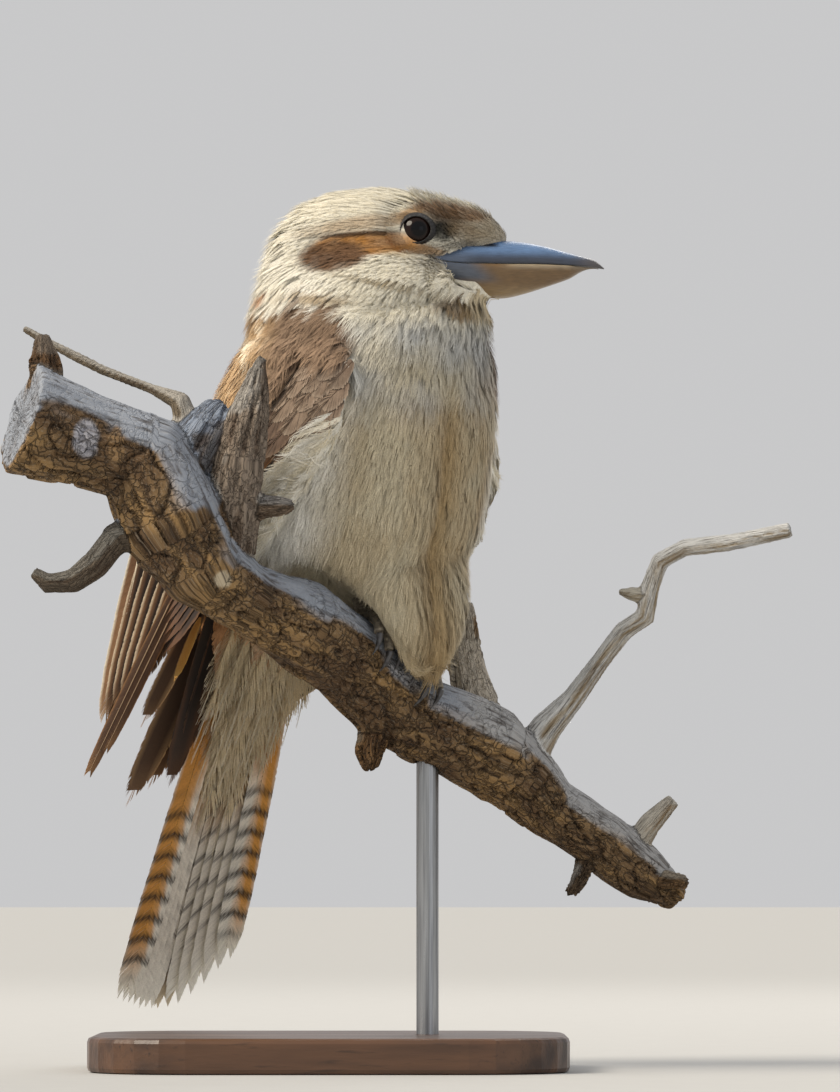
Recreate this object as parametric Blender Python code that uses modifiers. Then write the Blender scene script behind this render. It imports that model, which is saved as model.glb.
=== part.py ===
"""A laughing kookaburra, life size, sitting on a cut length of branch held by a plain stand.

The frame is in metres with Z up. The origin is at the middle of the underside of the stand's base.
The bird's own plan has F for forward along its chest, L for its left, and Z for height.
"""

import math
import random

import bmesh
import bpy
from mathutils import Matrix, Vector

random.seed(11)

# Whole object
COLLECTION_NAME = "kookaburra"
GAP = 0.0003
HEADING = math.radians(38.0)
BODY_CENTRE = (-0.030, 0.0)

# Trunk of the body, from the chest down to the vent: height, forward shift, half depth and half width
TORSO_SECTIONS = (
    (0.308, 0.022, 0.030, 0.034),
    (0.297, 0.019, 0.042, 0.046),
    (0.284, 0.013, 0.050, 0.053),
    (0.268, 0.007, 0.056, 0.057),
    (0.250, 0.002, 0.059, 0.060),
    (0.232, -0.003, 0.060, 0.060),
    (0.214, -0.007, 0.059, 0.058),
    (0.198, -0.012, 0.055, 0.052),
    (0.186, -0.017, 0.046, 0.043),
    (0.178, -0.020, 0.032, 0.028),
    (0.174, -0.021, 0.014, 0.012),
)
# Belly that hangs over the front of the perch: height, forward, left, half depth and half width
BELLY_SECTIONS = (
    (0.206, 0.019, 0.006, 0.026, 0.035),
    (0.188, 0.027, 0.009, 0.021, 0.027),
    (0.172, 0.033, 0.011, 0.016, 0.018),
    (0.160, 0.036, 0.011, 0.010, 0.010),
    (0.154, 0.037, 0.011, 0.004, 0.004),
)
BODY_SIDES = 20
NECK_TOP = 0.3065
NECK_FOOT = 0.2880
# Neck, across the camera's view: height, X, Y, half width in X and half depth in Y
NECK_SECTIONS = (
    (0.330, -0.020, -0.020, 0.026, 0.020),
    (0.320, -0.020, -0.020, 0.038, 0.029),
    (0.309, -0.0185, -0.0185, 0.046, 0.036),
    (0.300, -0.0195, -0.0165, 0.048, 0.040),
    (0.290, -0.0205, -0.0145, 0.049, 0.044),
    (0.278, -0.0215, -0.0125, 0.047, 0.045),
    (0.266, -0.0220, -0.0110, 0.036, 0.034),
)

# Head, turned to the bird's left: X, middle height, half height and half width
HEAD_Y = -0.0200
HEAD_SECTIONS = (
    (-0.0580, 0.3210, 0.0030, 0.0040),
    (-0.0545, 0.3210, 0.0110, 0.0125),
    (-0.0480, 0.3225, 0.0200, 0.0180),
    (-0.0360, 0.3230, 0.0260, 0.0232),
    (-0.0180, 0.3235, 0.0275, 0.0252),
    (-0.0020, 0.3245, 0.0255, 0.0220),
    (0.0080, 0.3265, 0.0210, 0.0175),
    (0.0150, 0.3280, 0.0160, 0.0130),
    (0.0190, 0.3290, 0.0080, 0.0070),
)
FOREHEAD_SECTIONS = (
    (0.0000, 0.3350, 0.0125, 0.0170),
    (0.0120, 0.3345, 0.0105, 0.0130),
    (0.0230, 0.3325, 0.0080, 0.0098),
    (0.0320, 0.3308, 0.0040, 0.0066),
    (0.0360, 0.3302, 0.0014, 0.0030),
)
CHIN_SECTIONS = (
    (-0.0060, 0.3115, 0.0110, 0.0170),
    (0.0100, 0.3110, 0.0085, 0.0130),
    (0.0220, 0.3085, 0.0058, 0.0090),
    (0.0310, 0.3070, 0.0030, 0.0048),
    (0.0350, 0.3066, 0.0010, 0.0018),
)
HEAD_SIDES = 16

# Bill: X, height of the mouth line, rise of the culmen, drop of the lower edge and half width
BILL_SECTIONS = (
    (0.0020, 0.3242, 0.0072, 0.0082, 0.0125),
    (0.0090, 0.3228, 0.0086, 0.0098, 0.0128),
    (0.0180, 0.3216, 0.0096, 0.0106, 0.0120),
    (0.0280, 0.3212, 0.0098, 0.0118, 0.0105),
    (0.0360, 0.3211, 0.0094, 0.0120, 0.0092),
    (0.0460, 0.3211, 0.0082, 0.0104, 0.0076),
    (0.0560, 0.3209, 0.0064, 0.0074, 0.0058),
    (0.0650, 0.3203, 0.0044, 0.0040, 0.0038),
    (0.0700, 0.3197, 0.0030, 0.0016, 0.0022),
)
BILL_TIP = (0.0735, 0.3188)
BILL_SIDES = 10
NOSTRIL_X = (0.0205, 0.0305)
NOSTRIL_RADIUS = 0.0009
NOSTRIL_Z = 0.3276
NOSTRIL_OUT = 0.0092
NOSTRIL_FLARE = 0.12

# Eyes
EYE_X = -0.0016
EYE_Z = 0.3340
EYE_RADIUS = 0.0070
EYE_OUT = 0.0158
LID_RADIUS = 0.0061
LID_THICK = 0.0011
LID_OUT = 0.0200
LID_SIDES = 16
LID_LOOPS = 6
BILL_TIP_STEP = 0.0022

# Feathers
VANE_THICK = 0.0007
VANE_TIP_THICK = 0.0004
VANE_STEP = 0.0013
CORE_DEPTH = 0.0070
SINK = 0.0018

# Folded wings: middle line in F, L and Z, and the way across it towards the back
RIGHT_WING_LINE = (
    (0.046, -0.042, 0.279),
    (0.012, -0.060, 0.238),
    (-0.036, -0.057, 0.186),
    (-0.075, -0.057, 0.148),
    (-0.108, -0.056, 0.112),
)
RIGHT_WING_ACROSS = (
    (-0.76, 0.05, 0.62),
    (-0.76, 0.12, 0.62),
    (-0.70, 0.30, 0.60),
    (-0.62, 0.50, 0.55),
    (-0.55, 0.65, 0.50),
)
LEFT_WING_LINE = (
    (0.032, 0.043, 0.277),
    (0.002, 0.056, 0.236),
    (-0.060, 0.048, 0.190),
    (-0.106, 0.017, 0.154),
    (-0.133, -0.003, 0.120),
)
LEFT_WING_ACROSS = (
    (-0.76, -0.05, 0.62),
    (-0.76, -0.12, 0.62),
    (-0.66, -0.45, 0.55),
    (-0.50, -0.75, 0.42),
    (-0.40, -0.85, 0.34),
)
WING_BEND_RADII = (0.058, 0.062, 0.080, 0.140, 0.200)
# Slab that the feathers grow from: place along the wing, lower edge and upper edge
WING_CORE = (
    (-0.004, 0.002, 0.024),
    (0.004, -0.014, 0.044),
    (0.016, -0.021, 0.056),
    (0.036, -0.025, 0.061),
    (0.056, -0.026, 0.058),
    (0.074, -0.026, 0.046),
    (0.090, -0.026, 0.030),
    (0.100, -0.024, 0.020),
)
# Room for the wing with all its feathers, in the same terms
WING_ROOM = (
    (-0.006, -0.004, 0.028),
    (0.004, -0.021, 0.050),
    (0.016, -0.028, 0.0575),
    (0.036, -0.030, 0.0620),
    (0.060, -0.031, 0.0620),
    (0.085, -0.032, 0.0600),
    (0.120, -0.034, 0.0540),
    (0.150, -0.034, 0.036),
    (0.180, -0.032, 0.030),
)
ROOM_HEIGHT = 0.0125
# Rows of small wing feathers: start, lowest root, highest root, how many, length and width
COVERT_ROWS = (
    (0.004, -0.012, 0.021, 5, 0.026, 0.0135),
    (0.020, -0.018, 0.022, 6, 0.026, 0.0140),
    (0.035, -0.020, 0.021, 6, 0.028, 0.0140),
    (0.050, -0.021, 0.017, 6, 0.038, 0.0135),
    (0.010, 0.032, 0.048, 3, 0.040, 0.0160),
    (0.030, 0.031, 0.052, 4, 0.046, 0.0150),
    (0.052, 0.026, 0.044, 3, 0.064, 0.0160),
)
COVERT_SLOPE = 0.17
SECONDARY_ROW = (0.066, -0.012, 0.024, 8, 0.086, 0.0140)
PRIMARY_ROOTS = (0.084, -0.022, -0.004)
PRIMARY_TIPS = (0.190, 0.200, 0.2065, 0.207, 0.203, 0.196, 0.188, 0.179)
PRIMARY_WIDTH = 0.0110
PRIMARY_HEIGHT = -0.0040

# Tail: root and tip in F, L and Z
TAIL_ROOT = (-0.061, -0.001, 0.176)
TAIL_TIP = (-0.1285, -0.001, 0.022)
TAIL_PAIRS = 6
TAIL_ROOT_PITCH = 0.0026
TAIL_TIP_PITCH = 0.0041
TAIL_WIDTH = 0.0125
TAIL_STEP = 0.0014
TAIL_SHORTER = 0.0022
# Base of the tail: place along it, half width and half depth
TAIL_CORE = (
    (-0.022, 0.030, 0.022),
    (-0.008, 0.030, 0.021),
    (0.008, 0.026, 0.017),
    (0.022, 0.021, 0.012),
    (0.036, 0.015, 0.007),
    (0.044, 0.008, 0.003),
)
UNDER_ROWS = (
    (-0.010, 0.046, 4, 0.0095, 0.017, 0.0180),
    (0.009, 0.050, 3, 0.0095, 0.016, 0.0135),
    (0.026, 0.052, 2, 0.0090, 0.015, 0.0085),
)
UPPER_ROWS = (
    (-0.008, 0.044, 4, 0.0085, 0.015, 0.0175),
    (0.010, 0.050, 3, 0.0090, 0.016, 0.0125),
)
TAIL_ROOM = (-0.0135, 0.0340, 0.0280, 0.080)

# Perch: X, Y, Z and radius down its middle, from the sawn end to the broken end
PERCH_LINE = (
    (-0.1540, -0.0960, 0.2532, 0.0218),
    (-0.1280, -0.0880, 0.2450, 0.0180),
    (-0.1080, -0.0820, 0.2390, 0.0195),
    (-0.0965, -0.0800, 0.2150, 0.0210),
    (-0.0850, -0.0770, 0.1965, 0.0172),
    (-0.0680, -0.0680, 0.1862, 0.0135),
    (-0.0480, -0.0440, 0.1765, 0.0175),
    (-0.0280, -0.0180, 0.1625, 0.0170),
    (-0.0080, 0.0010, 0.1440, 0.0170),
    (0.0070, 0.0090, 0.1372, 0.0180),
    (0.0280, 0.0190, 0.1280, 0.0175),
    (0.0410, 0.0260, 0.1170, 0.0150),
    (0.0530, 0.0310, 0.1050, 0.0125),
    (0.0730, 0.0380, 0.0920, 0.0120),
    (0.0910, 0.0450, 0.0780, 0.0110),
    (0.1050, 0.0500, 0.0690, 0.0060),
)
PERCH_SIDES = 14
# Side growth of the perch, each a line of X, Y, Z and radius with its root inside the perch
SNAG = (
    (-0.0760, -0.0680, 0.1960, 0.0120),
    (-0.0732, -0.0740, 0.2177, 0.0112),
    (-0.0705, -0.0775, 0.2370, 0.0102),
    (-0.0670, -0.0795, 0.2560, 0.0085),
    (-0.0632, -0.0805, 0.2720, 0.0045),
    (-0.0614, -0.0810, 0.2790, 0.0018),
)
SNAG_STUB = (
    (-0.0740, -0.0740, 0.2190, 0.0060),
    (-0.0620, -0.0760, 0.2205, 0.0048),
    (-0.0500, -0.0770, 0.2210, 0.0026),
)
HOOKED_TWIG = (
    (-0.0980, -0.0790, 0.2130, 0.0085),
    (-0.1180, -0.0860, 0.2075, 0.0066),
    (-0.1255, -0.0890, 0.1975, 0.0058),
    (-0.1345, -0.0900, 0.1908, 0.0050),
    (-0.1440, -0.0910, 0.1900, 0.0042),
    (-0.1495, -0.0912, 0.1945, 0.0024),
)
KNOB = (
    (-0.0930, -0.0760, 0.2330, 0.0110),
    (-0.0850, -0.0750, 0.2480, 0.0105),
    (-0.0800, -0.0745, 0.2560, 0.0080),
    (-0.0800, -0.0745, 0.2620, 0.0035),
)
THIN_TWIG = (
    (-0.0900, -0.0740, 0.2480, 0.0060),
    (-0.0935, -0.0735, 0.2620, 0.0044),
    (-0.1045, -0.0710, 0.2668, 0.0024),
    (-0.1250, -0.0620, 0.2752, 0.0022),
    (-0.1450, -0.0560, 0.2858, 0.0020),
    (-0.1560, -0.0520, 0.2922, 0.0018),
)
LEFT_BURR = (
    (-0.1450, -0.0900, 0.2660, 0.0075),
    (-0.1455, -0.0900, 0.2780, 0.0065),
    (-0.1460, -0.0900, 0.2870, 0.0030),
)
BACK_STUB = (
    (0.0240, 0.0240, 0.1400, 0.0095),
    (0.0205, 0.0320, 0.1560, 0.0085),
    (0.0175, 0.0350, 0.1700, 0.0065),
    (0.0190, 0.0360, 0.1830, 0.0045),
    (0.0196, 0.0360, 0.1890, 0.0018),
)
LOWER_STUB = (
    (-0.0160, -0.0060, 0.1400, 0.0070),
    (-0.0205, -0.0080, 0.1270, 0.0060),
    (-0.0195, -0.0080, 0.1200, 0.0030),
)
SIDE_TWIG = (
    (0.0420, 0.0260, 0.1220, 0.0085),
    (0.0510, 0.0260, 0.1375, 0.0068),
    (0.0620, 0.0245, 0.1490, 0.0050),
    (0.0730, 0.0200, 0.1640, 0.0043),
    (0.0820, 0.0160, 0.1760, 0.0042),
    (0.0905, 0.0110, 0.1815, 0.0044),
    (0.0925, 0.0080, 0.1930, 0.0040),
    (0.0965, 0.0060, 0.2035, 0.0040),
    (0.1060, 0.0020, 0.2085, 0.0038),
    (0.1250, -0.0040, 0.2105, 0.0036),
    (0.1480, -0.0110, 0.2150, 0.0034),
)
TWIG_BUD = (
    (0.0920, 0.0090, 0.1890, 0.0030),
    (0.0850, 0.0080, 0.1905, 0.0030),
    (0.0795, 0.0080, 0.1915, 0.0014),
)
END_STUB = (
    (0.0850, 0.0430, 0.0860, 0.0060),
    (0.0935, 0.0400, 0.0990, 0.0048),
    (0.1030, 0.0380, 0.1080, 0.0034),
)
END_SPUR = (
    (0.0920, 0.0420, 0.0760, 0.0045),
    (0.1000, 0.0370, 0.0760, 0.0036),
    (0.1075, 0.0340, 0.0750, 0.0024),
)
UNDER_SPUR = (
    (0.0700, 0.0370, 0.0880, 0.0050),
    (0.0640, 0.0330, 0.0760, 0.0038),
    (0.0605, 0.0310, 0.0700, 0.0022),
)
PERCH_GROWTH = (
    SNAG,
    SNAG_STUB,
    HOOKED_TWIG,
    KNOB,
    THIN_TWIG,
    LEFT_BURR,
    BACK_STUB,
    LOWER_STUB,
    SIDE_TWIG,
    TWIG_BUD,
    END_STUB,
    END_SPUR,
    UNDER_SPUR,
)
GROWTH_SIDES = 7
PERCH_ROOM = 0.0085

# Legs and feet: where each foot sits along the perch's middle line, and its leg's top
FOOT_PLACES = {"right": 6.95, "left": 7.75}
LEG_TOPS = {"right": (-0.0330, -0.0080, 0.2080), "left": (-0.0180, 0.0020, 0.1980)}
TOE_RADIUS = 0.0025
TOE_TAPER = 0.30
TOE_LIFT = TOE_RADIUS + 0.0009
HEEL_LIFT = TOE_LIFT + 0.0010
JOINT_LIFT = TOE_LIFT + 0.0006
JOINT_RADIUS = 0.0036
TOE_SPREAD = (-0.0075, 0.0, 0.0075)
TOE_ARCS = (62.0, 74.0, 62.0)
HALLUX_ARC = 58.0
CLAW_ARC = 26.0
CLAW_GAP = 2.6
CLAW_RADIUS = 0.0017
CLAW_TAPER = 0.86
CLAW_HOOK = 0.0022
SHANK_RADIUS = 0.0034
ANKLE_SHARE = 0.22
LEG_RADIUS = 0.0065

# Stand
BASE_LENGTH = 0.190
BASE_WIDTH = 0.150
BASE_THICK = 0.014
BASE_ROUND = 0.040
BASE_EDGE = 0.0020
BASE_CORNER_STEPS = 6
BASE_CENTRE = (-0.036, 0.0)
ROD_RADIUS = 0.0045
ROD_PLACE = (0.0030, 0.0070)
ROD_SOCKET = 0.0100


# Colours, roughness and metallic value of each material
MATERIALS = {
    "cream_feathers": ((0.72, 0.66, 0.54), 0.85, 0.0),
    "brown_feathers": ((0.20, 0.11, 0.055), 0.80, 0.0),
    "barred_feathers": ((0.46, 0.27, 0.12), 0.80, 0.0),
    "upper_bill_horn": ((0.06, 0.08, 0.11), 0.35, 0.0),
    "lower_bill_horn": ((0.42, 0.33, 0.20), 0.40, 0.0),
    "eye_brown": ((0.03, 0.015, 0.01), 0.05, 0.0),
    "slate_skin": ((0.10, 0.11, 0.11), 0.60, 0.0),
    "claw_horn": ((0.05, 0.05, 0.05), 0.35, 0.0),
    "weathered_wood": ((0.34, 0.27, 0.19), 0.90, 0.0),
    "stand_wood": ((0.10, 0.065, 0.04), 0.45, 0.0),
    "stand_metal": ((0.35, 0.33, 0.30), 0.35, 1.0),
}


def bird(forward, left, height):
    """Returns the world place of a point in the bird's own plan."""
    x = BODY_CENTRE[0] + math.sin(HEADING) * forward + math.cos(HEADING) * left
    y = BODY_CENTRE[1] - math.cos(HEADING) * forward + math.sin(HEADING) * left
    return Vector((x, y, height))


def bird_turn(direction):
    """Returns the world direction of a direction in the bird's own plan."""
    return bird(*direction) - bird(0.0, 0.0, 0.0)


def make_collection(name):
    """Makes a collection in the scene."""
    collection = bpy.data.collections.new(name)
    bpy.context.scene.collection.children.link(collection)
    return collection


def make_material(name):
    """Makes one Principled material from its row of values."""
    colour, roughness, metallic = MATERIALS[name]
    material = bpy.data.materials.new(name)
    material.use_nodes = True
    shader = material.node_tree.nodes["Principled BSDF"]
    shader.inputs["Base Color"].default_value = (*colour, 1.0)
    shader.inputs["Roughness"].default_value = roughness
    shader.inputs["Metallic"].default_value = metallic
    return material


def add_object(mesh, name, collection):
    """Puts a mesh in a collection as an object."""
    thing = bpy.data.objects.new(name, mesh)
    collection.objects.link(thing)
    return thing


def mesh_from(bm, name):
    """Turns an edit mesh into a mesh whose faces point out."""
    bmesh.ops.recalc_face_normals(bm, faces=bm.faces[:])
    mesh = bpy.data.meshes.new(name)
    bm.to_mesh(mesh)
    bm.free()
    return mesh


def loft(rings, name, point_start=None, point_end=None, triangles=False):
    """Joins rings of equal count into one closed skin, with flat or pointed ends."""
    bm = bmesh.new()
    rows = [[bm.verts.new(place) for place in ring] for ring in rings]
    count = len(rows[0])
    for below, above in zip(rows, rows[1:]):
        for k in range(count):
            n = (k + 1) % count
            bm.faces.new((below[k], below[n], above[n], above[k]))
    for row, point in ((rows[0], point_start), (rows[-1], point_end)):
        if point is None:
            bm.faces.new(row)
            continue
        apex = bm.verts.new(point)
        for k in range(count):
            bm.faces.new((row[k], row[(k + 1) % count], apex))
    if triangles:
        bmesh.ops.triangulate(bm, faces=bm.faces[:])
    return mesh_from(bm, name)


def ellipse(centre, first, second, sides):
    """Returns the points of an ellipse from its centre and two half axes."""
    angles = [2.0 * math.pi * k / sides for k in range(sides)]
    return [centre + first * math.cos(a) + second * math.sin(a) for a in angles]


def plan_body(sections, name):
    """Makes a body part from level sections in the bird's own plan."""
    rings = []
    for height, forward, left, depth, width in sections:
        ahead = bird_turn((depth, 0.0, 0.0))
        aside = bird_turn((0.0, width, 0.0))
        rings.append(ellipse(bird(forward, left, height), ahead, aside, BODY_SIDES))
    return loft(rings, name)


def neck_body(name):
    """Makes the neck from level sections."""
    rings = []
    for height, x, y, half_x, half_y in NECK_SECTIONS:
        centre = Vector((x, y, height))
        rings.append(ellipse(centre, Vector((half_x, 0.0, 0.0)), Vector((0.0, half_y, 0.0)), BODY_SIDES))
    return loft(rings, name)


def head_body(sections, name):
    """Makes a part of the head from upright sections along the bill's direction."""
    rings = []
    for x, height, half_height, half_width in sections:
        centre = Vector((x, HEAD_Y, height))
        aside = Vector((0.0, half_width, 0.0))
        rings.append(ellipse(centre, aside, Vector((0.0, 0.0, half_height)), HEAD_SIDES))
    return loft(rings, name)


def remove_collection(collection):
    """Removes a collection and all objects in it."""
    for thing in list(collection.objects):
        bpy.data.objects.remove(thing, do_unlink=True)
    bpy.data.collections.remove(collection)


def apply_boolean(thing, operation, collection, solver="EXACT"):
    """Applies one Boolean with a collection to an object."""
    modifier = thing.modifiers.new("Join", "BOOLEAN")
    modifier.operation = operation
    modifier.operand_type = "COLLECTION"
    modifier.collection = collection
    modifier.solver = solver
    graph = bpy.context.evaluated_depsgraph_get()
    mesh = bpy.data.meshes.new_from_object(thing.evaluated_get(graph))
    thing.modifiers.remove(modifier)
    thing.data = mesh
    keep_largest(thing)


def keep_largest(thing):
    """Keeps only the largest closed surface of an object."""
    bm = bmesh.new()
    bm.from_mesh(thing.data)
    bmesh.ops.remove_doubles(bm, verts=bm.verts[:], dist=1e-6)
    unseen = set(bm.faces)
    shells = []
    while unseen:
        stack = [unseen.pop()]
        shell = set(stack)
        while stack:
            for edge in stack.pop().edges:
                for face in edge.link_faces:
                    if face in unseen:
                        unseen.remove(face)
                        shell.add(face)
                        stack.append(face)
        shells.append(shell)
    shells.sort(key=lambda shell: sum(face.calc_area() for face in shell))
    scraps = [face for shell in shells[:-1] for face in shell]
    if scraps:
        bmesh.ops.delete(bm, geom=scraps, context="FACES")
        loose = [vert for vert in bm.verts if not vert.link_faces]
        bmesh.ops.delete(bm, geom=loose, context="VERTS")
    bmesh.ops.triangulate(bm, faces=[face for face in bm.faces if len(face.verts) > 4])
    bm.to_mesh(thing.data)
    bm.free()


def join_meshes(first, others, name, collection):
    """Fuses closed meshes into one object of the collection."""
    thing = add_object(first, name, collection)
    if others:
        helpers = make_collection(name + "_parts")
        for number, mesh in enumerate(others):
            add_object(mesh, f"{name}_part_{number}", helpers)
        apply_boolean(thing, "UNION", helpers)
        remove_collection(helpers)
    return thing


def cut_with(thing, meshes):
    """Cuts closed meshes out of an object."""
    helpers = make_collection(thing.name + "_cuts")
    for number, mesh in enumerate(meshes):
        add_object(mesh, f"{thing.name}_cut_{number}", helpers)
    apply_boolean(thing, "DIFFERENCE", helpers)
    remove_collection(helpers)


def box_mesh(low, high, name):
    """Makes a box between two corners."""
    bm = bmesh.new()
    size = Vector(high) - Vector(low)
    middle = (Vector(high) + Vector(low)) / 2.0
    bmesh.ops.create_cube(bm, size=1.0, matrix=Matrix.Translation(middle) @ Matrix.Diagonal((*size, 1.0)))
    return mesh_from(bm, name)


def ball_mesh(centre, radius, name, rings=10, sides=16, scale=(1.0, 1.0, 1.0)):
    """Makes a ball, which may be squashed along its axes."""
    bm = bmesh.new()
    place = Matrix.Translation(centre) @ Matrix.Diagonal((*scale, 1.0))
    bmesh.ops.create_uvsphere(bm, u_segments=sides, v_segments=rings, radius=radius, matrix=place)
    return mesh_from(bm, name)


def tube_mesh(points, radii, sides, name, wobble=0.0):
    """Makes a tube of changing radius along points, with an uneven surface if asked."""
    places = [Vector(place) for place in points]
    tangents = []
    for k, place in enumerate(places):
        before = places[max(k - 1, 0)]
        after = places[min(k + 1, len(places) - 1)]
        tangents.append((after - before).normalized())
    side = tangents[0].orthogonal().normalized()
    rings = []
    for place, tangent, radius in zip(places, tangents, radii):
        side = (side - tangent * side.dot(tangent)).normalized()
        other = tangent.cross(side)
        ring = []
        for k in range(sides):
            angle = 2.0 * math.pi * k / sides
            reach = radius * (1.0 + random.uniform(-wobble, wobble))
            ring.append(place + (side * math.cos(angle) + other * math.sin(angle)) * reach)
        rings.append(ring)
    return loft(rings, name)


class Sheet:
    """A curved sheet that feathers lie on, with a place along it, a place across it and a height."""

    def __init__(self, line, across, radii, outward):
        self.line = [bird(*place) for place in line]
        self.across = [bird_turn(direction).normalized() for direction in across]
        self.radii = radii
        self.outward = outward
        self.stops = [0.0]
        for first, second in zip(self.line, self.line[1:]):
            self.stops.append(self.stops[-1] + (second - first).length)
        self.length = self.stops[-1]

    def blend(self, values, along):
        """Returns a smooth value from those given at the sheet's stops."""
        count = len(values)
        step = 0
        while step < count - 2 and along > self.stops[step + 1]:
            step += 1
        span = self.stops[step + 1] - self.stops[step]
        t = (along - self.stops[step]) / span
        if t < 0.0 or t > 1.0:
            return values[step] + (values[step + 1] - values[step]) * t
        before = values[max(step - 1, 0)]
        first = values[step]
        second = values[step + 1]
        after = values[min(step + 2, count - 1)]
        lean_in = (second - before) * 0.5
        lean_out = (after - first) * 0.5
        return (
            first * (2 * t**3 - 3 * t**2 + 1)
            + lean_in * (t**3 - 2 * t**2 + t)
            + second * (-2 * t**3 + 3 * t**2)
            + lean_out * (t**3 - t**2)
        )

    def place(self, along, across, height):
        """Returns the world place of a point on or over the sheet."""
        centre = self.blend(self.line, along)
        ahead = (self.blend(self.line, along + 0.002) - self.blend(self.line, along - 0.002)).normalized()
        side = self.blend(self.across, along)
        side = (side - ahead * side.dot(ahead)).normalized()
        normal = ahead.cross(side) * self.outward
        radius = self.blend(self.radii, along)
        angle = across / radius
        rise = normal * math.cos(angle) + side * math.sin(angle)
        return centre - normal * radius + rise * (radius + height)


def vane_mesh(sheet, name, root, tip_along, width, heights, tilt, drift=0.0, steps=5):
    """Makes one thin tapered feather on a sheet.

    The feather runs from its root to tip_along, its heights are at the root, a quarter and the tip,
    and tilt is the fall of its surface across it, which tucks one edge under the next feather.
    """
    along_root, across_root = root
    shape = ((0.0, 0.34), (0.16, 0.72), (0.45, 1.0), (0.75, 0.98), (0.92, 0.72), (1.0, 0.26))
    if steps == 4:
        shape = ((0.0, 0.40), (0.30, 0.90), (0.70, 1.0), (0.92, 0.72), (1.0, 0.26))
    rings = []
    for t, share in shape:
        along = along_root + (tip_along - along_root) * t
        centre = across_root + drift * t
        if t < 0.25:
            height = heights[0] + (heights[1] - heights[0]) * t / 0.25
        else:
            height = heights[1] + (heights[2] - heights[1]) * (t - 0.25) / 0.75
        thick = VANE_THICK + (VANE_TIP_THICK - VANE_THICK) * max(0.0, t - 0.7) / 0.3
        half = width * share / 2.0
        low_edge = sheet.place(along, centre - half, height + tilt * half)
        high_edge = sheet.place(along, centre + half, height - tilt * half)
        low_under = sheet.place(along, centre - half, height + tilt * half - thick)
        high_under = sheet.place(along, centre + half, height - tilt * half - thick)
        rings.append((low_edge, high_edge, high_under, low_under))
    return ribbon_mesh(rings, name)


def ribbon_mesh(rings, name):
    """Makes a thin closed ribbon whose two faces are split into triangles alike."""
    bm = bmesh.new()
    rows = [[bm.verts.new(place) for place in ring] for ring in rings]
    for below, above in zip(rows, rows[1:]):
        bm.faces.new((below[0], below[1], above[1]))
        bm.faces.new((below[0], above[1], above[0]))
        bm.faces.new((below[3], above[2], below[2]))
        bm.faces.new((below[3], above[3], above[2]))
        for low, high in ((1, 2), (3, 0)):
            bm.faces.new((below[low], below[high], above[high]))
            bm.faces.new((below[low], above[high], above[low]))
    for row in (rows[0], rows[-1]):
        bm.faces.new((row[0], row[1], row[2]))
        bm.faces.new((row[0], row[2], row[3]))
    return mesh_from(bm, name)


def slab_mesh(sheet, outline, low, high, name, grow=0.0, columns=5):
    """Makes a slab on a sheet, from its lower and upper edge at each place along."""
    bm = bmesh.new()
    layers = []
    for height in (low, high):
        grid = []
        for number, (along, lower, upper) in enumerate(outline):
            shift = 0.0
            if number == 0:
                shift = -grow
            if number == len(outline) - 1:
                shift = grow
            row = []
            for k in range(columns + 1):
                across = lower - grow + (upper - lower + 2.0 * grow) * k / columns
                edge = abs(2.0 * k / columns - 1.0)
                inset = 0.0 if grow else (high - low) * 0.30 * edge**4
                level = height + inset if height == low else height - inset
                row.append(bm.verts.new(sheet.place(along + shift, across, level)))
            grid.append(row)
        layers.append(grid)
    under, over = layers
    for r in range(len(outline) - 1):
        for k in range(columns):
            for grid in (under, over):
                bm.faces.new((grid[r][k], grid[r][k + 1], grid[r + 1][k + 1]))
                bm.faces.new((grid[r][k], grid[r + 1][k + 1], grid[r + 1][k]))
    last = len(outline) - 1
    for r in range(last):
        for k in (0, columns):
            bm.faces.new((under[r][k], under[r + 1][k], over[r + 1][k], over[r][k]))
    for k in range(columns):
        for r in (0, last):
            bm.faces.new((under[r][k], under[r][k + 1], over[r][k + 1], over[r][k]))
    return mesh_from(bm, name)


def wing_sheet(side):
    """Returns the sheet of one folded wing."""
    if side == "right":
        return Sheet(RIGHT_WING_LINE, RIGHT_WING_ACROSS, WING_BEND_RADII, -1.0)
    return Sheet(LEFT_WING_LINE, LEFT_WING_ACROSS, WING_BEND_RADII, 1.0)


def wing_vanes(sheet):
    """Makes the feathers of one wing: coverts and scapulars, secondaries and primaries."""
    vanes = []
    for start, lowest, highest, count, length, width in COVERT_ROWS:
        pitch = (highest - lowest) / (count - 1)
        tilt = VANE_STEP / pitch
        for k in range(count):
            reach = length * random.uniform(0.95, 1.05)
            heights = (-SINK, -SINK + COVERT_SLOPE * reach * 0.25, -SINK + COVERT_SLOPE * reach)
            root = (start, lowest + pitch * k)
            vanes.append(vane_mesh(sheet, "covert", root, start + reach, width, heights, tilt, steps=4))
    start, lowest, highest, count, length, width = SECONDARY_ROW
    pitch = (highest - lowest) / (count - 1)
    for k in range(count):
        root = (start, lowest + pitch * k)
        tip = start + length - 0.0016 * k
        heights = (-SINK - 0.0010, -SINK + 0.0002, -SINK + 0.0016)
        vanes.append(vane_mesh(sheet, "secondary", root, tip, width, heights, VANE_STEP / pitch))
    start, lowest, highest = PRIMARY_ROOTS
    pitch = (highest - lowest) / (len(PRIMARY_TIPS) - 1)
    for k, tip in enumerate(PRIMARY_TIPS):
        root = (start, lowest + pitch * k)
        heights = (PRIMARY_HEIGHT, PRIMARY_HEIGHT, PRIMARY_HEIGHT + 0.0006)
        tilt = VANE_STEP / pitch
        vanes.append(vane_mesh(sheet, "primary", root, tip, PRIMARY_WIDTH, heights, tilt, drift=0.004))
    return vanes


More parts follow.
